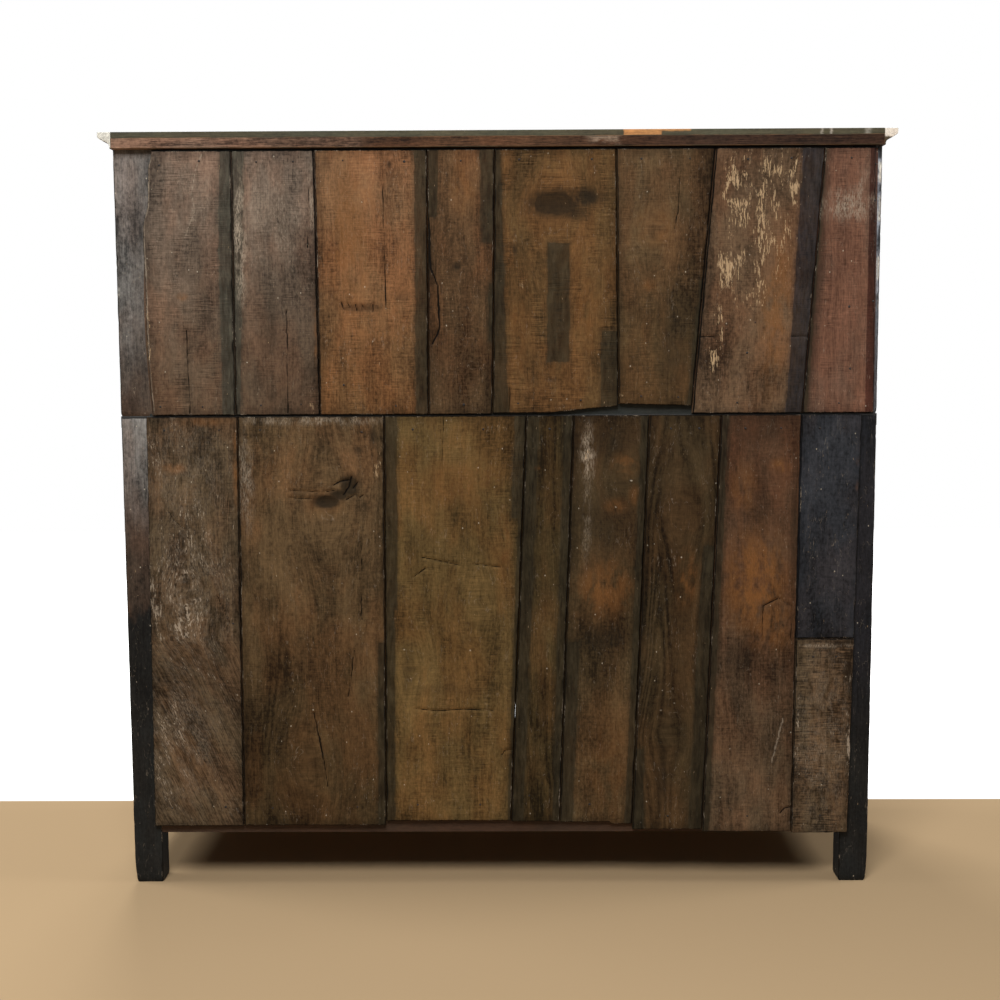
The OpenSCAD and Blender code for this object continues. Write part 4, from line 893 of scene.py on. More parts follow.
def slab(node, look, material, slot, seed):
    """A board as a grid over its width and height: the front face is hollowed by slow noise, its
    rim falls away as an arris, and it closes with a wall and a flat back."""
    def wave(*where):
        """A ripple from 0 to 1."""
        return 0.5 + 0.5 * ripple(*where)

    size = sizes()
    (left, right), z0, z1, back, face = outline_of(node)
    z1 = z1 + look["above"] * MM
    share, across = steps(max(8, int((right[1].mean() - left[1].mean()) / size.cell)), size.arris)
    level, up = steps(max(8, int((z1 - z0) / size.cell)), size.arris)
    u, t = np.meshgrid(share, level)
    du, dz = np.meshgrid(across, up)
    foot = z0 + np.interp(u, *np.array(look["foot"]).T) * MM
    z = foot + (z1 - foot) * t + dz
    low, high = np.interp(z, *left), np.interp(z, *right)
    if "rim" in look:
        rim_share, rim_height = np.array(look["rim"])[::-1].T
        straight = np.interp(z, [z0, z1], [right[1][0], right[1][-1]])
        high = straight - np.interp(z / MM, rim_height, rim_share) * (straight - low)
    low = low + np.interp(z, [z0, z1], [0, look["trim"]]) * MM
    low = low + size.wander * wave(z, z, 0.09, 0.013, seed)
    high = high - size.wander * wave(z, z, 0.07, 0.011, seed + 1)
    w = (high - low) / MM
    x = high + (low - high) * u - du
    depth = nearest(high - x, x - low, z - foot, z1 - z)
    radius = size.arris * (1.1 + 0.6 * ripple(x, z, 0.012, 0.02, seed + 2))
    inner = np.clip(1 - depth / radius, 0, 1)
    fall = radius * (1 - np.sqrt(1 - inner ** 2))
    at = (high - x) / (high - low), z / MM, w
    band, crack = reach(look["band"], *at, seed + 5), line_depth(look["crack"], *at)
    soft = {name: spots(look[name], *at) for name in ("stain", "glow", "flake", "scuff")}
    hollow = (size.warp * wave(x, z, 0.05, 0.16, seed + 3)
              + 0.25 * MM * ripple(x, z, 0.011, 0.03, seed + 4)
              + size.rebate * np.clip(0.5 + band / 6, 0, 1)
              + 2 * MM * np.clip(1 + crack / 3, 0, 1) + 1.2 * MM * soft["stain"] ** 2)
    y = face - np.clip(hollow, 0, (face - back) * 0.6) - fall
    points = np.stack([x, y, z], -1).reshape(-1, 3)
    ring = border(*u.shape)
    rim = points[ring].copy()
    rim[:, 1] = back
    side = (u.ravel()[ring] == 0) * 1.0 - (u.ravel()[ring] == 1)
    spread = np.where(side > 0, np.interp(rim[:, 2], *right), np.interp(rim[:, 2], *left))
    rim[:, 0] = np.where(side == 0, rim[:, 0], spread + side * size.seam)
    obj = closed(node + "_aged", u.shape, points, rim, material, slot)
    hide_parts(node)
    store_marks(obj, band=band, crack=crack, edge=np.clip(depth / MM, 0, EDGE_FAR), **soft,
                scratch=np.clip(0.6 + line_depth(look["scratch"], *at), 0, 1))
    store_wood(obj, np.concatenate([points + grain_flow(look, *at, seed), rim]), seed)


def grain_flow(look, u, z, w, seed):
    """How far the grain's coordinates move along X: slow waves, a lean below a height, and a
    parting round each knot that fades by a bell curve."""
    move = 5 * ripple(z, u * w, 150, 90, seed + 6) + 1.5 * ripple(z, u * w, 37, 40, seed + 7)
    top, slope = look["lean"]
    move = move + slope * np.clip(top - z, 0, None)
    for centre, height, span in look["knots"]:
        across = (u - centre) * w
        move = move + 0.8 * across * np.exp(-(across ** 2 + ((z - height) / 2) ** 2) / span ** 2)
    return np.stack([move.ravel() * MM, 0 * move.ravel(), 0 * move.ravel()], -1)


POST_ROUND = 2.2 * MM
POST_CELL = 6 * MM


def post(name, low, high, material, seed, node, taper=None):
    """A worn upright timber from corner low to corner high: a rounded rectangle carried along Z,
    whose corner radius, faces and chips stray with noise."""
    low, high = np.array(low, float), np.array(high, float)
    half, middle = (high - low)[:2] / 2, (high + low)[:2] / 2
    quarter = math.pi / 2
    corners = [(1, 1), (-1, 1), (-1, -1), (1, -1)]
    ring = []
    for k, (sx, sy) in enumerate(corners):
        ring += [(sx, sy, math.cos(t + k * quarter), math.sin(t + k * quarter), 1)
                 for t in np.array([0.0, 0.33, 0.67, 1.0]) * quarter]
        tx, ty = corners[(k + 1) % 4]
        ring += [(sx + (tx - sx) * f, sy + (ty - sy) * f,
                  math.cos((k + 1) * quarter), math.sin((k + 1) * quarter), 0)
                 for f in np.linspace(0, 1, 8)[1:-1]]
    ring = np.array(ring)
    rows = max(6, int((high[2] - low[2]) / POST_CELL))
    z, k = np.meshgrid(np.linspace(low[2], high[2], rows), np.arange(len(ring)), indexing="ij")
    cx, cy, nx, ny, corner = np.moveaxis(ring[k], -1, 0)
    spin = np.arctan2(cy, cx)
    worn = POST_ROUND * (1 + 0.5 * ripple(spin * 0.1, z, 0.05, 0.02, seed))
    chip = np.clip(ripple(spin * 0.1, z, 0.03, 0.009, seed + 1) - 0.45, 0, 1) * 5 * MM
    worn = worn + chip * corner
    face = 0.35 * MM * (1 + ripple(spin * 0.1, z, 0.03, 0.05, seed + 2))
    end = nearest(z - low[2], high[2] - z)
    face = face + POST_ROUND * np.clip(1 - end / POST_ROUND, 0, 1) ** 2
    x = middle[0] + half[0] * cx + corner * worn * (nx - cx) - face * nx
    y = middle[1] + half[1] * cy + corner * worn * (ny - cy) - face * ny
    if taper:
        x, y = taper(x, y, z)
    points = np.stack([x, y, z], -1).reshape(-1, 3)
    obj = piece(name, points, tubes(1, rows, len(ring)), material, "blackened_oak")
    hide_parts(node)
    store_wood(obj, points, seed)
    store_marks(obj, edge=np.where(corner, 0.4, EDGE_FAR))


# ---------------------------------------------------------------- copies of CAD members

def island_labels(edges, count):
    """The part that each point belongs to: labels sink to their neighbours' lowest."""
    label = np.arange(count)
    while True:
        low = label.copy()
        np.minimum.at(low, edges[:, 0], label[edges[:, 1]])
        np.minimum.at(low, edges[:, 1], label[edges[:, 0]])
        low = low[low]
        if (low == label).all():
            return label
        label = low


def wood_of(co, edges, seed):
    """Grain coordinates: each solid's longest axis becomes Z, and each has its own shift."""
    label = island_labels(edges, len(co))
    names, part = np.unique(label, return_inverse=True)
    lo = np.full((len(names), 3), 1e9)
    hi = -lo
    np.minimum.at(lo, part, co)
    np.maximum.at(hi, part, co)
    axis = (hi - lo).argmax(1)[part]
    order = (np.arange(3)[None] + axis[:, None] + 1) % 3
    shift = np.random.default_rng(seed).uniform(-3, 3, (len(names), 3))
    return np.take_along_axis(co, order, 1) + shift[part]


def softened(node, material, worn, slot, seed):
    """A merged copy of a CAD node with its flat faces joined and its arrises rounded; the
    rounded strips take the worn material."""
    mesh = frame["nodes"][node].data.copy()
    mesh.name = node + "_worn"
    mesh.materials.clear()
    work = bmesh.new()
    work.from_mesh(mesh)
    bmesh.ops.remove_doubles(work, verts=work.verts, dist=2e-6)
    bmesh.ops.dissolve_limit(work, angle_limit=math.radians(FLAT), verts=work.verts,
                             edges=work.edges)
    work.to_mesh(mesh)
    work.free()
    obj = add(node + "_worn", mesh)
    mesh.materials.append(material)
    mesh.materials.append(worn)
    mesh.polygons.foreach_set("material_index", np.zeros(len(mesh.polygons), int))
    mesh.polygons.foreach_set("use_smooth", np.ones(len(mesh.polygons), bool))
    mesh.set_sharp_from_angle(angle=math.radians(SHARP_COPY))
    co, edges = read(mesh.vertices, "co", 3), read(mesh.edges, "vertices", 2, int)
    store(obj, "wood", wood_of(co, edges, seed), "FLOAT_VECTOR")
    rounding = obj.modifiers.new("arris", "BEVEL")
    rounding.width = sizes().soft
    rounding.segments = 2
    rounding.limit_method = "ANGLE"
    rounding.angle_limit = math.radians(ROUNDED)
    rounding.material = 1
    rounding.harden_normals = True
    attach(obj, frame["nodes"][node]["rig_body"])
    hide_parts(node)


# ---------------------------------------------------------------- carving
# Carved panels are (low X, high X, low Z, high Z), face and back, in millimetres.

FRIEZE = (-736, 736, 1453, 1596), -249, -219
CENTRE_PANEL = (-209, 209, 1061, 1417), -104, -90
DOOR_PANEL = (-137, 137, 264, 715), -246.5, -232.5
DOOR_PANEL_MIDDLES = 224.25, 535.75
LUNETTES = 9


def rise(inside, soft=1.5):
    """A smooth step over the border of a form: 1 well inside, 0 well outside."""
    t = np.clip(0.5 + inside / (2 * soft), 0, 1)
    return t * t * (3 - 2 * t)


def union(*forms):
    """The highest of several forms."""
    return np.maximum.reduce(forms)


def leaf(x, z, cx, cz, half_long, half_wide, turn):
    """A raised leaf with a sunk vein: a turned ellipse round cx, cz."""
    c, s = math.cos(turn), math.sin(turn)
    along, across = (x - cx) * c + (z - cz) * s, (z - cz) * c - (x - cx) * s
    inside = (1 - np.hypot(along / half_long, across / half_wide)) * half_wide
    return rise(inside) * (1 - 0.6 * rise(1.1 - np.abs(across), 0.8))


def lunettes(x, z):
    """Relief of the frieze, 0 ground to 1 face: half-round arches with fans of petals, a leaf
    between each two, plain borders above and below."""
    spring, border_low, border_high = 1474, 1472, 1554
    scribed_low, scribed_high = 1465, 1561
    half = FRIEZE[0][1]
    pitch = 2 * half / LUNETTES
    a, b = (x + half) % pitch - pitch / 2, z - spring
    r, turn = np.hypot(a, b), np.arctan2(b, a)
    fan = np.abs((turn / math.pi * 7) % 1 - 0.5) * math.pi * r / 7
    petal = 9.5 * np.sin(math.pi * np.clip((r - 13) / 42, 0, 1)) ** 0.7 - fan
    form = union(
        rise(4.6 - np.abs(r - 70)), rise(1.7 - np.abs(r - 60), 0.9),
        rise(petal - 1.2) * (1 - 0.5 * rise(0.9 - fan, 0.8)), rise(10 - r),
        leaf(np.abs(a) - pitch / 2, b, 0, 60, 24, 9, math.pi / 2))
    form = union(form * rise(b - 1), rise(border_low - z), rise(z - border_high))
    return form * (1 - 0.5 * rise(1.5 - np.abs(z - scribed_low))
                   - 0.5 * rise(1.5 - np.abs(z - scribed_high)))


def arcade(x, z):
    """Relief of the centre panel: an arch on two pillars over a rosette on a leafed stem."""
    spring, arch_radius, pillar_foot, stem_foot = 1262, 138, 1098, 1112
    across, up = np.abs(x), z - spring
    r, turn = np.hypot(x, up), np.arctan2(up, x)
    arch = np.where(up > 0, r, across)
    form = union(rise(8 - np.abs(arch - arch_radius)), rise(2 - np.abs(arch - 122), 0.9))
    form = form * (z > pillar_foot)
    run = np.where(up > 0, turn * arch_radius, z)
    notch = 0.6 * rise(1.2 - np.abs((run % 15) - 7.5), 0.9)
    form = form * (1 - notch * rise(6 - np.abs(arch - arch_radius)))
    flower = 20 + 32 * np.abs(np.cos(turn * 4)) ** 0.8
    leaves = [leaf(across, z, 12 + length * 0.75, place, length, wide, lean)
              for place, length, wide, lean in ((1176, 46, 12, 0.7), (1132, 52, 13, 0.25))]
    return union(
        form, rise(flower - r) * (1 - 0.7 * rise(1.6 - np.abs(r - 18))),
        rise(3.5 - across) * (up < -30) * (z > stem_foot), *leaves,
        leaf(across, z, 168, 1368, 30, 11, math.pi / 4),
        rise(across - 178), rise(1092 - z), rise(z - 1402))


def lozenge(x, z):
    """Relief of a door panel whose middle is at 0, 0: a bevelled field with a cut lozenge and a
    small rosette."""
    reach_x, reach_z = 84, 150
    d = (np.abs(x) / reach_x + np.abs(z) / reach_z - 1) * reach_x * 0.87
    r, turn = np.hypot(x, z), np.arctan2(z, x)
    return 1 - union(rise(1.6 - np.abs(d), 1.0), rise(1.2 - np.abs(d + 12), 0.9),
                     rise(1.3 - np.abs(r - 17 - 9 * np.cos(turn * 6)), 0.9))


def carved(name, panel, relief, depth, cell, material, node, body=CASE, rim=None, seed=0):
    """A panel as a grid over x and z: its face is sunk by the relief's ground, its rim steps
    back to the tongue, and it closes with a wall and a flat back. rim is the border's width, the
    bevel's width and its drop. Lengths in millimetres."""
    (x0, x1, z0, z1), face, back = panel
    x, z = np.meshgrid(np.linspace(x0, x1, int((x1 - x0) / cell) + 1),
                       np.linspace(z0, z1, int((z1 - z0) / cell) + 1))
    form = relief(x, z)
    ground = 1 - form
    tool = 0.3 * ripple(x, z, 5, 7, seed) * ground + 0.15 * ripple(x, z, 40, 60, seed + 1)
    y = face + depth * ground + np.clip(0.3 + tool, 0, 1)
    if rim:
        margin, bevel, drop = rim
        away = nearest(x - x0, x1 - x, z - z0, z1 - z)
        y = np.maximum(y, face + drop * np.clip(1 - (away - margin) / bevel, 0, 1))
    front = np.stack([x, y, z], -1).reshape(-1, 3)
    behind = front[border(*x.shape)].copy()
    behind[:, 1] = back
    obj = closed(name, x.shape, front * MM, behind * MM, material, "front_oak", body)
    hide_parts(node)
    slope = np.hypot(*np.gradient(form))
    store_marks(obj, stain=0.75 * ground, glow=np.clip(slope * 0.5, 0, 0.5) * form)
    points = np.concatenate([front, behind]) * MM
    upright = rim and rim[1] > 1
    store_wood(obj, points if upright else points[:, [2, 1, 0]], seed)


# ---------------------------------------------------------------- tables of the operators

SLOT_OF_TONE = {
    "ash": "umber_boards", "umber": "umber_boards", "rough": "umber_boards",
    "smoky": "umber_boards", "honey": "golden_boards", "golden": "golden_boards",
    "olive": "golden_boards", "flaky": "golden_boards", "orange": "orange_boards",
    "chestnut": "orange_boards", "reddish": "reddish_boards", "rust": "reddish_boards",
    "slate": "slate_board"}

FRONT_NODES = [
    "front_stile_left", "front_stile_right", "lower_front_rails", "lower_muntins",
    "ledge_boards", "upper_front_stiles", "upper_front_frame", "corner_posts", "pendants",
    "lower_side_rails", "upper_side_rails", "drawer_left", "drawer_middle",
    "drawer_right", "lower_door_left", "lower_door_right", "upper_door_left",
    "upper_door_right"]
PANEL_NODES = ["lower_side_panels", "upper_side_panels"]
WAXED = dict(Drift=0.5, Dull=0.45, specular=0.4, bump=0.25)

# Rings of a nail's head and of a peg: share of the radius, and millimetres out of the wood.
NAIL_RINGS = np.array([[1, -2.24], [1, -0.28], [0.72, 0.49], [0.3, 0.868]])
PEG_RINGS = np.array([[1.0, -1.2], [1.0, 0.3], [0.8, 0.8], [0.4, 1.0]])

# Pegged joints in millimetres: where a pair of pegs has its middle on the +X side, and half of
# the distance between the two.
PEGS_FRONT = [((739, -249, 157), 20), ((739, -249, 787), 10), ((739, -249, 965), 10),
              ((749, -109, 1045), 11), ((749, -109, 1430), 11), ((214, -109, 1045), 10),
              ((246, -109, 1430), 10)]
PEGS_FLANKS = [((800, -208, 157), 11), ((800, -208, 970), 11), ((800, 225, 157), 11),
               ((800, -90, 1045), 11), ((800, 225, 1045), 11)]
# A door's middle X, half of the distance between its stiles, its rails' heights and its face.
PEGS_DOORS = {"lower_door": (380, 297.5, (238, 734.5), -249),
              "upper_door": (499, 191.5, (1106, 1377.5), -109)}
PEGS_DOOR_GAP = 12
SIGNS = [(-1, -1), (-1, 1), (1, -1), (1, 1)]

# Rear stiles in metres: their width, how far the one at photo-left reaches inwards past it, how
# far a face stands out of its solid, how far a head stops under the ledge, and how a foot's
# outer face narrows: over what height, by how much, and from which X outwards.
STILE_WIDTH, STILE_REACH, STILE_PROUD, STILE_SHORT = 0.062, 0.022, 0.0009, 0.0006
TAPER_HEIGHT, TAPER_DEPTH, TAPER_FROM = 0.06, 0.005, 0.77

# The photograph's camera: its place in metres, and its yaw, pitch and roll in radians.
CAMERA_PLACE = (-0.0244, 3.232, 1.138)
CAMERA_TURN = (0.0072, 0.1006, -0.0045)
LAMPS = {"key": (0.5, 3.3, 4.0), "fill": (1.0, -3.5, 3.8), "side_left": (-3.6, 0.2, 3.6),
         "side_right": (3.6, -0.2, 3.6)}
LAMP_TARGET = (0, 0, 0.8)
LAMP_SIDE = 1.8
# The floor in metres: half its side, where it turns white beyond the front feet, and the
# distances over which its pale pool round the cupboard fades.
FLOOR_REACH, FLOOR_TURN, FLOOR_POOL = 6, (-0.315, -0.295), (2.7, 1.5)


# ---------------------------------------------------------------- operators

class Cupboard_OT_back_boards(bpy.types.Operator):
    """Makes the seventeen nailed boards of the back"""
    bl_idname = "cupboard.back_boards"
    bl_label = "Back boards"

    def execute(self, context):
        for seed, (node, look) in enumerate(BOARDS.items()):
            low, high = (corner.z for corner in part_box(node))
            head, foot = look["tone"]
            material = oak(
                node.replace("back_board", "board"),
                [(0, 0, foot), ((low + high) / 2, (high - low) / 2, head)], marks=True,
                # The back boards darken towards their rims with painted shade.
                patches=look["patches"], lift=(low, high, *look["lift"]), soot=0.5,
                strips=look["strips"], flakes=look["flakes"], Drift=0.6, Dull=0.8,
                specular=0.06, bump=0.5, **{key: look[key] for key in AMOUNTS})
            slab(node, look, material, SLOT_OF_TONE[head], 20 * seed + 7)
        return {"FINISHED"}


class Cupboard_OT_back_nails(bpy.types.Operator):
    """Makes the forged nails of the back boards"""
    bl_idname = "cupboard.back_nails"
    bl_label = "Nails of the back"

    def execute(self, context):
        places, around = [], 8
        for node, look in BOARDS.items():
            (left, right), *_, face = outline_of(node)
            for share, height in look["nail"]:
                z = height * MM
                high, low = np.interp(z, *right), np.interp(z, *left)
                places.append((high + (low - high) * share, face, z))
        places = np.array(places)
        rng = np.random.default_rng(5)
        radius = sizes().nail * rng.uniform(0.75, 1.15, len(places))
        turn = rng.uniform(0, math.pi, len(places))
        flat = rng.uniform(0.85, 1.15, (len(places), around))
        radius = NAIL_RINGS[:, :1] * radius[:, None, None] * flat[:, None]
        points = heads(places, radius, NAIL_RINGS[:, 1:] * MM, turn, around, 1)
        piece("back_nails", points, tubes(len(places), len(NAIL_RINGS), around), iron(), "iron",
              smooth=False)
        return {"FINISHED"}


class Cupboard_OT_front(bpy.types.Operator):
    """Rounds and waxes the members of the front and the sides"""
    bl_idname = "cupboard.front"
    bl_label = "Front and sides"

    def execute(self, context):
        waxed = dict(Grain=0.9, Blotch=0.65, Figure=0.9, **WAXED)
        front = oak("waxed oak", "front", **waxed)
        panel = oak("waxed panel oak", "panel", **waxed)
        edge = oak("rubbed oak", "front", rubbed=0.8, **waxed)
        ledge = oak("ledge oak", [(0, 0, "front"), (0.24, 0.01, "stile")], along="Y",
                    stray=0.01, **waxed)
        for seed, node in enumerate(FRONT_NODES):
            pair = (ledge, ledge) if node == "ledge_boards" else (front, edge)
            softened(node, *pair, "front_oak", seed)
        for seed, node in enumerate(PANEL_NODES):
            softened(node, panel, edge, "front_oak", 40 + seed)
        return {"FINISHED"}


class Cupboard_OT_carving(bpy.types.Operator):
    """Carves the frieze, the centre panel and the lower doors' panels"""
    bl_idname = "cupboard.carving"
    bl_label = "Carved frieze and panels"

    def execute(self, context):
        deep = sizes().carving / MM
        waxed = dict(Grain=0.8, Blotch=0.6, Figure=0.8, marks=True, **WAXED)
        front = oak("carved oak", "front", **waxed)
        panel = oak("carved panel oak", "panel", **waxed)
        carved("frieze_carved", FRIEZE, lunettes, deep, 1.6, front, "frieze_rail", seed=801)
        carved("centre_panel_carved", CENTRE_PANEL, arcade, deep, 1.5, panel, "centre_panel",
               rim=(9, 0.8, 6), seed=811)
        (x0, x1, z0, z1), face, back = DOOR_PANEL
        for side, body in ((-1, "lower_door_left"), (1, "lower_door_right")):
            for index, middle in enumerate(DOOR_PANEL_MIDDLES):
                centre = side * middle
                carved("%s_panel_%d" % (body, index + 1),
                       ((centre + x0, centre + x1, z0, z1), face, back),
                       lambda x, z: lozenge(x - centre, z - (z0 + z1) / 2), deep * 0.5, 2.0,
                       panel, body + "_panels", body, rim=(16, 24, 6), seed=820 + index + side)
        return {"FINISHED"}


class Cupboard_OT_pegs(bpy.types.Operator):
    """Drives the oak pegs of the mortise and tenon joints"""
    bl_idname = "cupboard.pegs"
    bl_label = "Pegs"

    def execute(self, context):
        material = oak("peg oak", "worn", Grain=0.2, Blotch=0.6, Dull=0.5, specular=0.3)
        for name, joints, axis in (("front", PEGS_FRONT, 1), ("flanks", PEGS_FLANKS, 0)):
            places = [(s * x, y, z + t * gap) for (x, y, z), gap in joints for s, t in SIGNS]
            self.drive("pegs_" + name, CASE, places, axis, material)
        for door, (middle, half, rails, y) in PEGS_DOORS.items():
            for side, word in ((-1, "left"), (1, "right")):
                places = [(side * middle + s * half, y, z + t * PEGS_DOOR_GAP)
                          for z in rails for s, t in SIGNS]
                body = "%s_%s" % (door, word)
                self.drive("pegs_" + body, body, places, 1, material)
        return {"FINISHED"}

    def drive(self, name, body, places, axis, material):
        """Low domes of seven sides, each turned and sized a little differently."""
        places, around = np.array(places) * MM, 7
        rng = np.random.default_rng(len(name))
        radius = sizes().peg * rng.uniform(0.9, 1.1, len(places))
        radius = PEG_RINGS[:, :1] * radius[:, None, None]
        turn = rng.uniform(0, 1, len(places))
        outwards = np.sign(places[:, 0])[:, None, None] if axis == 0 else -1
        points = heads(places, radius, PEG_RINGS[:, 1:] * MM * outwards, turn, around, axis)
        obj = piece(name, points, tubes(len(places), len(PEG_RINGS), around), material,
                    "front_oak", body, smooth=False)
        store(obj, "wood", points, "FLOAT_VECTOR")


class Cupboard_OT_top(bpy.types.Operator):
    """Makes the top boards, the cornice and the reddish strip under them"""
    bl_idname = "cupboard.top"
    bl_label = "Top, cornice and strip"

    def execute(self, context):
        rough = dict(Grain=0.5, Blotch=0.5, Figure=0.2, Drift=0.4, Dull=0.7, specular=0.2)
        over = dict(along="Y", stray=0.004, **rough)
        board_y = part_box("top_boards")[1].y
        cornice_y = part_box("cornice_returns")[1].y
        edge = "Y", board_y - 0.004, board_y + 0.01
        end = "Y", cornice_y - 0.006, cornice_y + 0.01
        # The front's tone up to near the back, and the top's own from there.
        tones = [(0, 0, "front"), (0.2785, 0.0015, "top")]
        top = oak("top oak", tones, **over)
        strip = oak("strip oak", [
            (0, 0, "strip_dark"), (-0.25, 0.25, "strip"), (0.42, 0.2, "strip_pale")],
            along="X", patches=[
                ("scuff", 0.45, 0.014, ("X", -0.25, -0.19), ("Z", 1.588, 1.60)),
                ("strip_pale", 0.5, 0.01, ("X", 0.28, 0.4), ("Z", 1.57, 1.60))],
            **{**rough, "Grain": 1.2, "Blotch": 0.9, "specular": 0.08})
        worn = oak("rubbed top", tones, rubbed=0.5, **over)
        bare = oak("top edge oak", tones, patches=[
            ("bare", 0.95, 0.002, ("X", -0.34, -0.262), edge),
            ("bare", 0.9, 0.002, ("X", -0.4, -0.33), edge, ("Z", 1.604, 1.62)),
            ("broken", 0.45, 0.004, ("X", -0.692, -0.688), edge),
            ("broken", 0.45, 0.004, ("X", -0.671, -0.669), edge),
            ("broken", 0.3, 0.006, ("X", -0.77, -0.76), edge)], **over)
        cut = oak("cornice end oak", tones, patches=[
            ("broken", 0.95, 0.002, ("X", 0, 1), end, ("Z", 1.577, 1.62)),
            ("broken", 0.95, 0.003, ("X", -1, 0), end, ("Z", 1.591, 1.62))], **over)
        softened("top_boards", bare, bare, "cornice_oak", 61)
        softened("rear_strip", strip, worn, "reddish_strip", 62)
        softened("cornice_front", top, worn, "cornice_oak", 63)
        softened("cornice_returns", cut, cut, "cornice_oak", 64)
        return {"FINISHED"}


class Cupboard_OT_stiles(bpy.types.Operator):
    """Makes the near black rear stiles with their feet"""
    bl_idname = "cupboard.stiles"
    bl_label = "Rear stiles"

    def execute(self, context):
        rough = dict(Grain=0.6, Blotch=1.0, Figure=0.2, Drift=0.5, Dull=0.6, specular=0.12,
                     Speck=0.6, marks=True, bump=0.5)
        black = oak("black stile oak", [(0, 0, "stile"), (0.4, 0.15, "stile_cold")], **rough)
        # Near its head the lower stile takes the same grey: paint with a painted sheen.
        mixed = oak("mixed stile oak", [
            (0, 0, "stile"), (0.6, 0.02, "stile_brown"), (0.83, 0.09, "stile_grey_and_sheen")], **rough)
        # The grey of the upper stile is grey paint with a painted sheen over it.
        grey = oak("grey stile oak", [
            (0, 0, "stile_brown"), (1.16, 0.14, "stile_grey_and_sheen")], patches=[
                ("stile_brown", 0.35, 0.01, ("X", 0.7, 0.768), ("Z", 1.0, 1.62)),
                ("stile", 0.7, 0.006, ("X", 0.79, 0.83), ("Z", 1.39, 1.44)),
                ("broken", 0.6, 0.004, ("X", 0.796, 0.83), ("Z", 1.27, 1.29))], **rough)

        def foot(side):
            """Narrows the outer face of a foot towards the floor."""
            def taper(x, y, z):
                outer = np.clip(1 - z / TAPER_HEIGHT, 0, 1) ** 2 * TAPER_DEPTH
                return x - side * outer * (x * side > TAPER_FROM), y
            return taper

        for node, side, material in (("rear_stile_right", 1, mixed),
                                     ("rear_stile_left", -1, black)):
            low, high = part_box(node)
            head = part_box("ledge_boards")[1].z - STILE_SHORT
            post(node + "_worn", low, (high.x, high.y + STILE_PROUD, head), material,
                 500 + side, node, taper=foot(side))
        low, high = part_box("upper_rear_stiles")
        inner = low.x + STILE_WIDTH
        post("upper_rear_stile_right", (-inner - STILE_REACH, low.y, low.z),
             (high.x, high.y + STILE_PROUD, high.z), grey, 510, "upper_rear_stiles")
        # Painted bluish sheen, painted white glints and dark patches on the back of the corner at
        # photo-right:
        # a tone, its strength, its raggedness, its X limit and its low and high Z.
        stile_painted_sheen = oak("polished stile oak", "stile", patches=[
            (name, strength, ragged, ("X", -0.83, limit), ("Y", 0.255, 0.3), ("Z", z0, z1))
            for name, strength, ragged, limit, z0, z1 in (
                ("gloss", 1.0, 0.005, -0.788, 1.27, 1.6),
                ("gloss", 0.35, 0.006, -0.789, 1.0, 1.28),
                ("broken", 1.0, 0.004, -0.793, 1.5, 1.54),
                ("broken", 0.9, 0.004, -0.794, 1.42, 1.47),
                ("broken", 0.9, 0.004, -0.793, 1.3, 1.345),
                ("stile", 0.9, 0.003, -0.79, 1.548, 1.58),
                ("stile", 0.8, 0.003, -0.795, 1.48, 1.495),
                ("stile", 0.8, 0.004, -0.794, 1.36, 1.41))], **rough)
        post("upper_rear_stile_left", low, (inner, high.y, high.z), stile_painted_sheen, 515,
             "upper_rear_stiles")
        return {"FINISHED"}


class Cupboard_OT_inside(bpy.types.Operator):
    """Gives the rails, boards and iron that keep their CAD shape their materials"""
    bl_idname = "cupboard.inside"
    bl_label = "Inside and iron"

    def execute(self, context):
        rough = dict(Grain=0.5, Blotch=0.4, Figure=0.3, Drift=0.4, Dull=0.75, specular=0.2)
        along_y = oak("inner oak along y", "inner", axis=1, **rough)
        along_x = oak("inner oak along x", "inner", axis=0, **rough)
        kinds = {
            "lower_rear_rails": oak("rear rail oak", "rail", axis=0, **rough),
            "upper_rear_rails": oak("dark rail oak", "dark_rail", axis=0, **rough),
            "floor_boards": along_y, "drawer_runners": along_y, "shelf": along_x,
            "soffit_board": along_x, "hinge_plates": iron(), "lower_door_left_leaves": iron(),
            "lower_door_right_leaves": iron(), "upper_door_left_leaves": iron(),
            "upper_door_right_leaves": iron()}
        for node, material in kinds.items():
            for holder in frame["nodes"][node].material_slots:
                holder.material = material
        return {"FINISHED"}


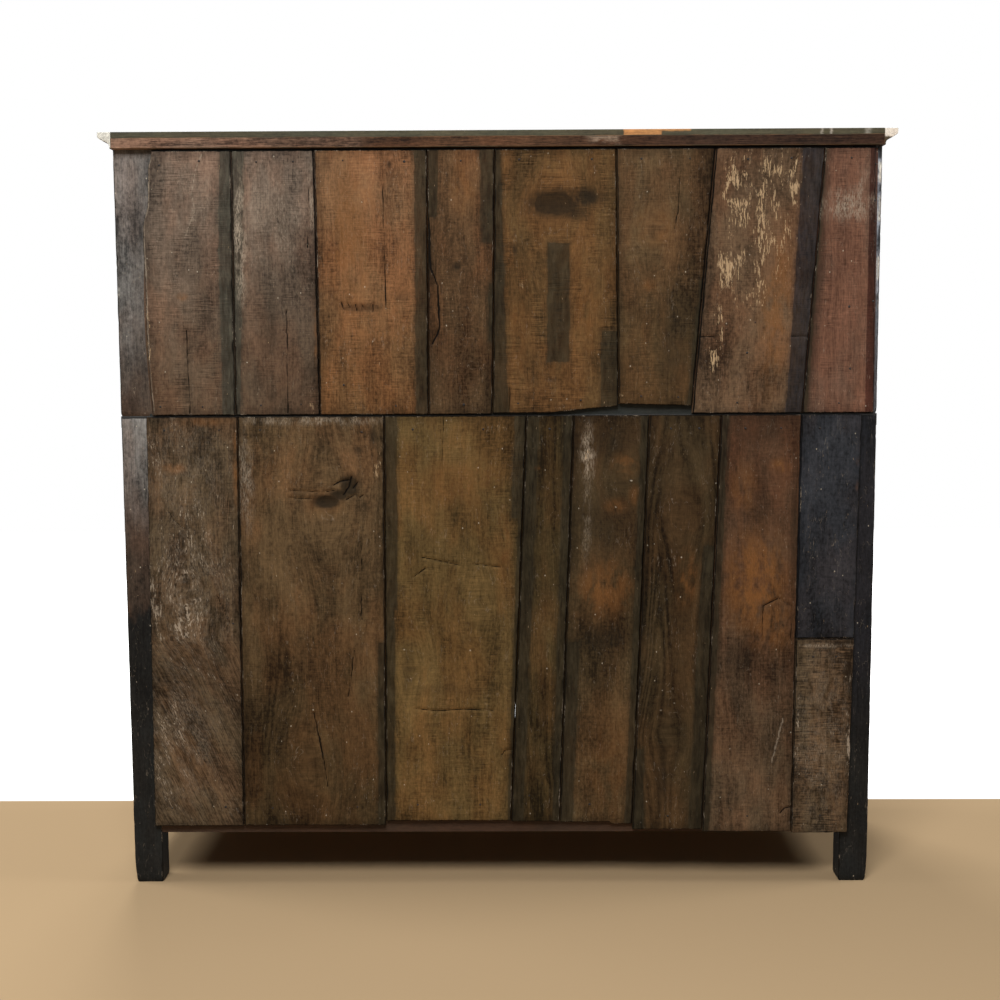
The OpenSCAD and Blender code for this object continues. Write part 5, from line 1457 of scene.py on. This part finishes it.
class Cupboard_OT_stage(bpy.types.Operator):
    """Sets the floor, the lamps, the sky and the camera"""
    bl_idname = "cupboard.stage"
    bl_label = "Studio"

    def execute(self, context):
        studio = context.scene.cupboard_studio
        self.floor()
        self.sky(studio.sky)
        for name, place in LAMPS.items():
            lamp = bpy.data.lights.new(name, "AREA")
            lamp.size = LAMP_SIDE
            lamp.energy = getattr(studio, name.split("_")[0])
            add(name, lamp).matrix_world = aimed(place, np.subtract(LAMP_TARGET, place))
        camera = bpy.data.cameras.new("camera")
        camera.lens = studio.lens
        camera.sensor_width = 36
        yaw, pitch, roll = CAMERA_TURN
        forward = (math.sin(yaw) * math.cos(pitch), -math.cos(yaw) * math.cos(pitch),
                   -math.sin(pitch))
        context.scene.camera = add("camera", camera)
        context.scene.camera.matrix_world = aimed(CAMERA_PLACE, forward, roll)
        return {"FINISHED"}

    def floor(self):
        """A flat sheet under everything, pale before the camera and white beyond."""
        y = np.concatenate([np.linspace(-FLOOR_REACH, -0.34, 8), np.linspace(-0.3, 7, 10)])
        gx, gy = np.meshgrid(np.linspace(-FLOOR_REACH, FLOOR_REACH, 12), y)
        points = np.stack([gx, gy, 0 * gx], -1).reshape(-1, 3)
        mesh = bpy.data.meshes.new("floor")
        mesh.from_pydata(points.tolist(), [], quads(*gx.shape).tolist())
        material = bpy.data.materials.new("pale floor")
        material.use_nodes = True
        n = Nodes(material.node_tree)
        place = n.place()
        near = n.ramp(place["Y"], *FLOOR_TURN)
        away = n.maths("SQRT", n.total(*(n.times(place[axis], place[axis]) for axis in "XY")))
        pool = n.times(near, n.ramp(away, *FLOOR_POOL))
        camera = n.put("ShaderNodeLightPath").outputs["Is Camera Ray"]
        inputs = n.tree.nodes["Principled BSDF"].inputs
        n.tree.links.new(n.mix(near, paint("far_floor"), paint("floor")), inputs["Base Color"])
        n.tree.links.new(n.times(n.minus(1.0, pool), camera), inputs["Emission Strength"])
        for key, value in (("Emission Color", (1, 1, 1, 1)), ("Roughness", 0.6),
                           ("Specular IOR Level", 0.0)):
            inputs[key].default_value = value
        mesh.materials.append(material)
        add("floor", mesh)

    def sky(self, strength):
        """An even sky that the camera and reflections see as white."""
        world = bpy.data.worlds.new("studio sky")
        bpy.context.scene.world = world
        world.use_nodes = True
        world.node_tree.nodes.clear()
        n = Nodes(world.node_tree)
        path = n.put("ShaderNodeLightPath").outputs
        seen = reduce(partial(n.maths, "MAXIMUM"), (
            path["Is %s Ray" % kind] for kind in ("Camera", "Transmission", "Glossy")))
        back = n.put("ShaderNodeBackground", {
            "Color": (1, 1, 1, 1), "Strength": n.total(strength, n.times(seen, 1 - strength))})
        n.put("ShaderNodeOutputWorld", {"Surface": back.outputs[0]})


def aimed(place, forward, roll=0.0):
    """The matrix of a camera or lamp that looks along forward from place."""
    f = Vector(forward).normalized()
    right = f.cross(Vector((0, 0, 1))).normalized()
    top = right.cross(f)
    r = right * math.cos(roll) + top * math.sin(roll)
    t = top * math.cos(roll) - right * math.sin(roll)
    return Matrix(((r.x, t.x, -f.x, place[0]), (r.y, t.y, -f.y, place[1]),
                   (r.z, t.z, -f.z, place[2]), (0, 0, 0, 1)))


OPERATORS = [Cupboard_OT_stage, Cupboard_OT_back_boards, Cupboard_OT_back_nails,
             Cupboard_OT_stiles, Cupboard_OT_top, Cupboard_OT_front, Cupboard_OT_carving,
             Cupboard_OT_pegs, Cupboard_OT_inside]
SETTINGS = {"cupboard_sizes": CupboardSizes, "cupboard_tones": CupboardTones,
            "cupboard_studio": CupboardStudio}


class CUPBOARD_PT_panel(bpy.types.Panel):
    """Lists the pieces of the cupboard"""
    bl_label = "Court cupboard"
    bl_space_type = "VIEW_3D"
    bl_region_type = "UI"
    bl_category = "Cupboard"

    def draw(self, context):
        for operator in OPERATORS:
            self.layout.operator(operator.bl_idname)
        for group_name in SETTINGS:
            settings = getattr(context.scene, group_name)
            for name in settings.bl_rna.properties.keys():
                if name not in ("rna_type", "name"):
                    self.layout.prop(settings, name)


CLASSES = [*SETTINGS.values(), *OPERATORS, CUPBOARD_PT_panel]


def register():
    for cls in CLASSES:
        bpy.utils.register_class(cls)
    for name, settings in SETTINGS.items():
        setattr(bpy.types.Scene, name, bpy.props.PointerProperty(type=settings))


def unregister():
    for name in SETTINGS:
        delattr(bpy.types.Scene, name)
    for cls in reversed(CLASSES):
        bpy.utils.unregister_class(cls)


def main():
    register()
    bpy.context.scene.view_settings.view_transform = "Standard"
    for operator in OPERATORS:
        family, name = operator.bl_idname.split(".")
        getattr(getattr(bpy.ops, family), name)()


if __name__ == "__main__":
    main()
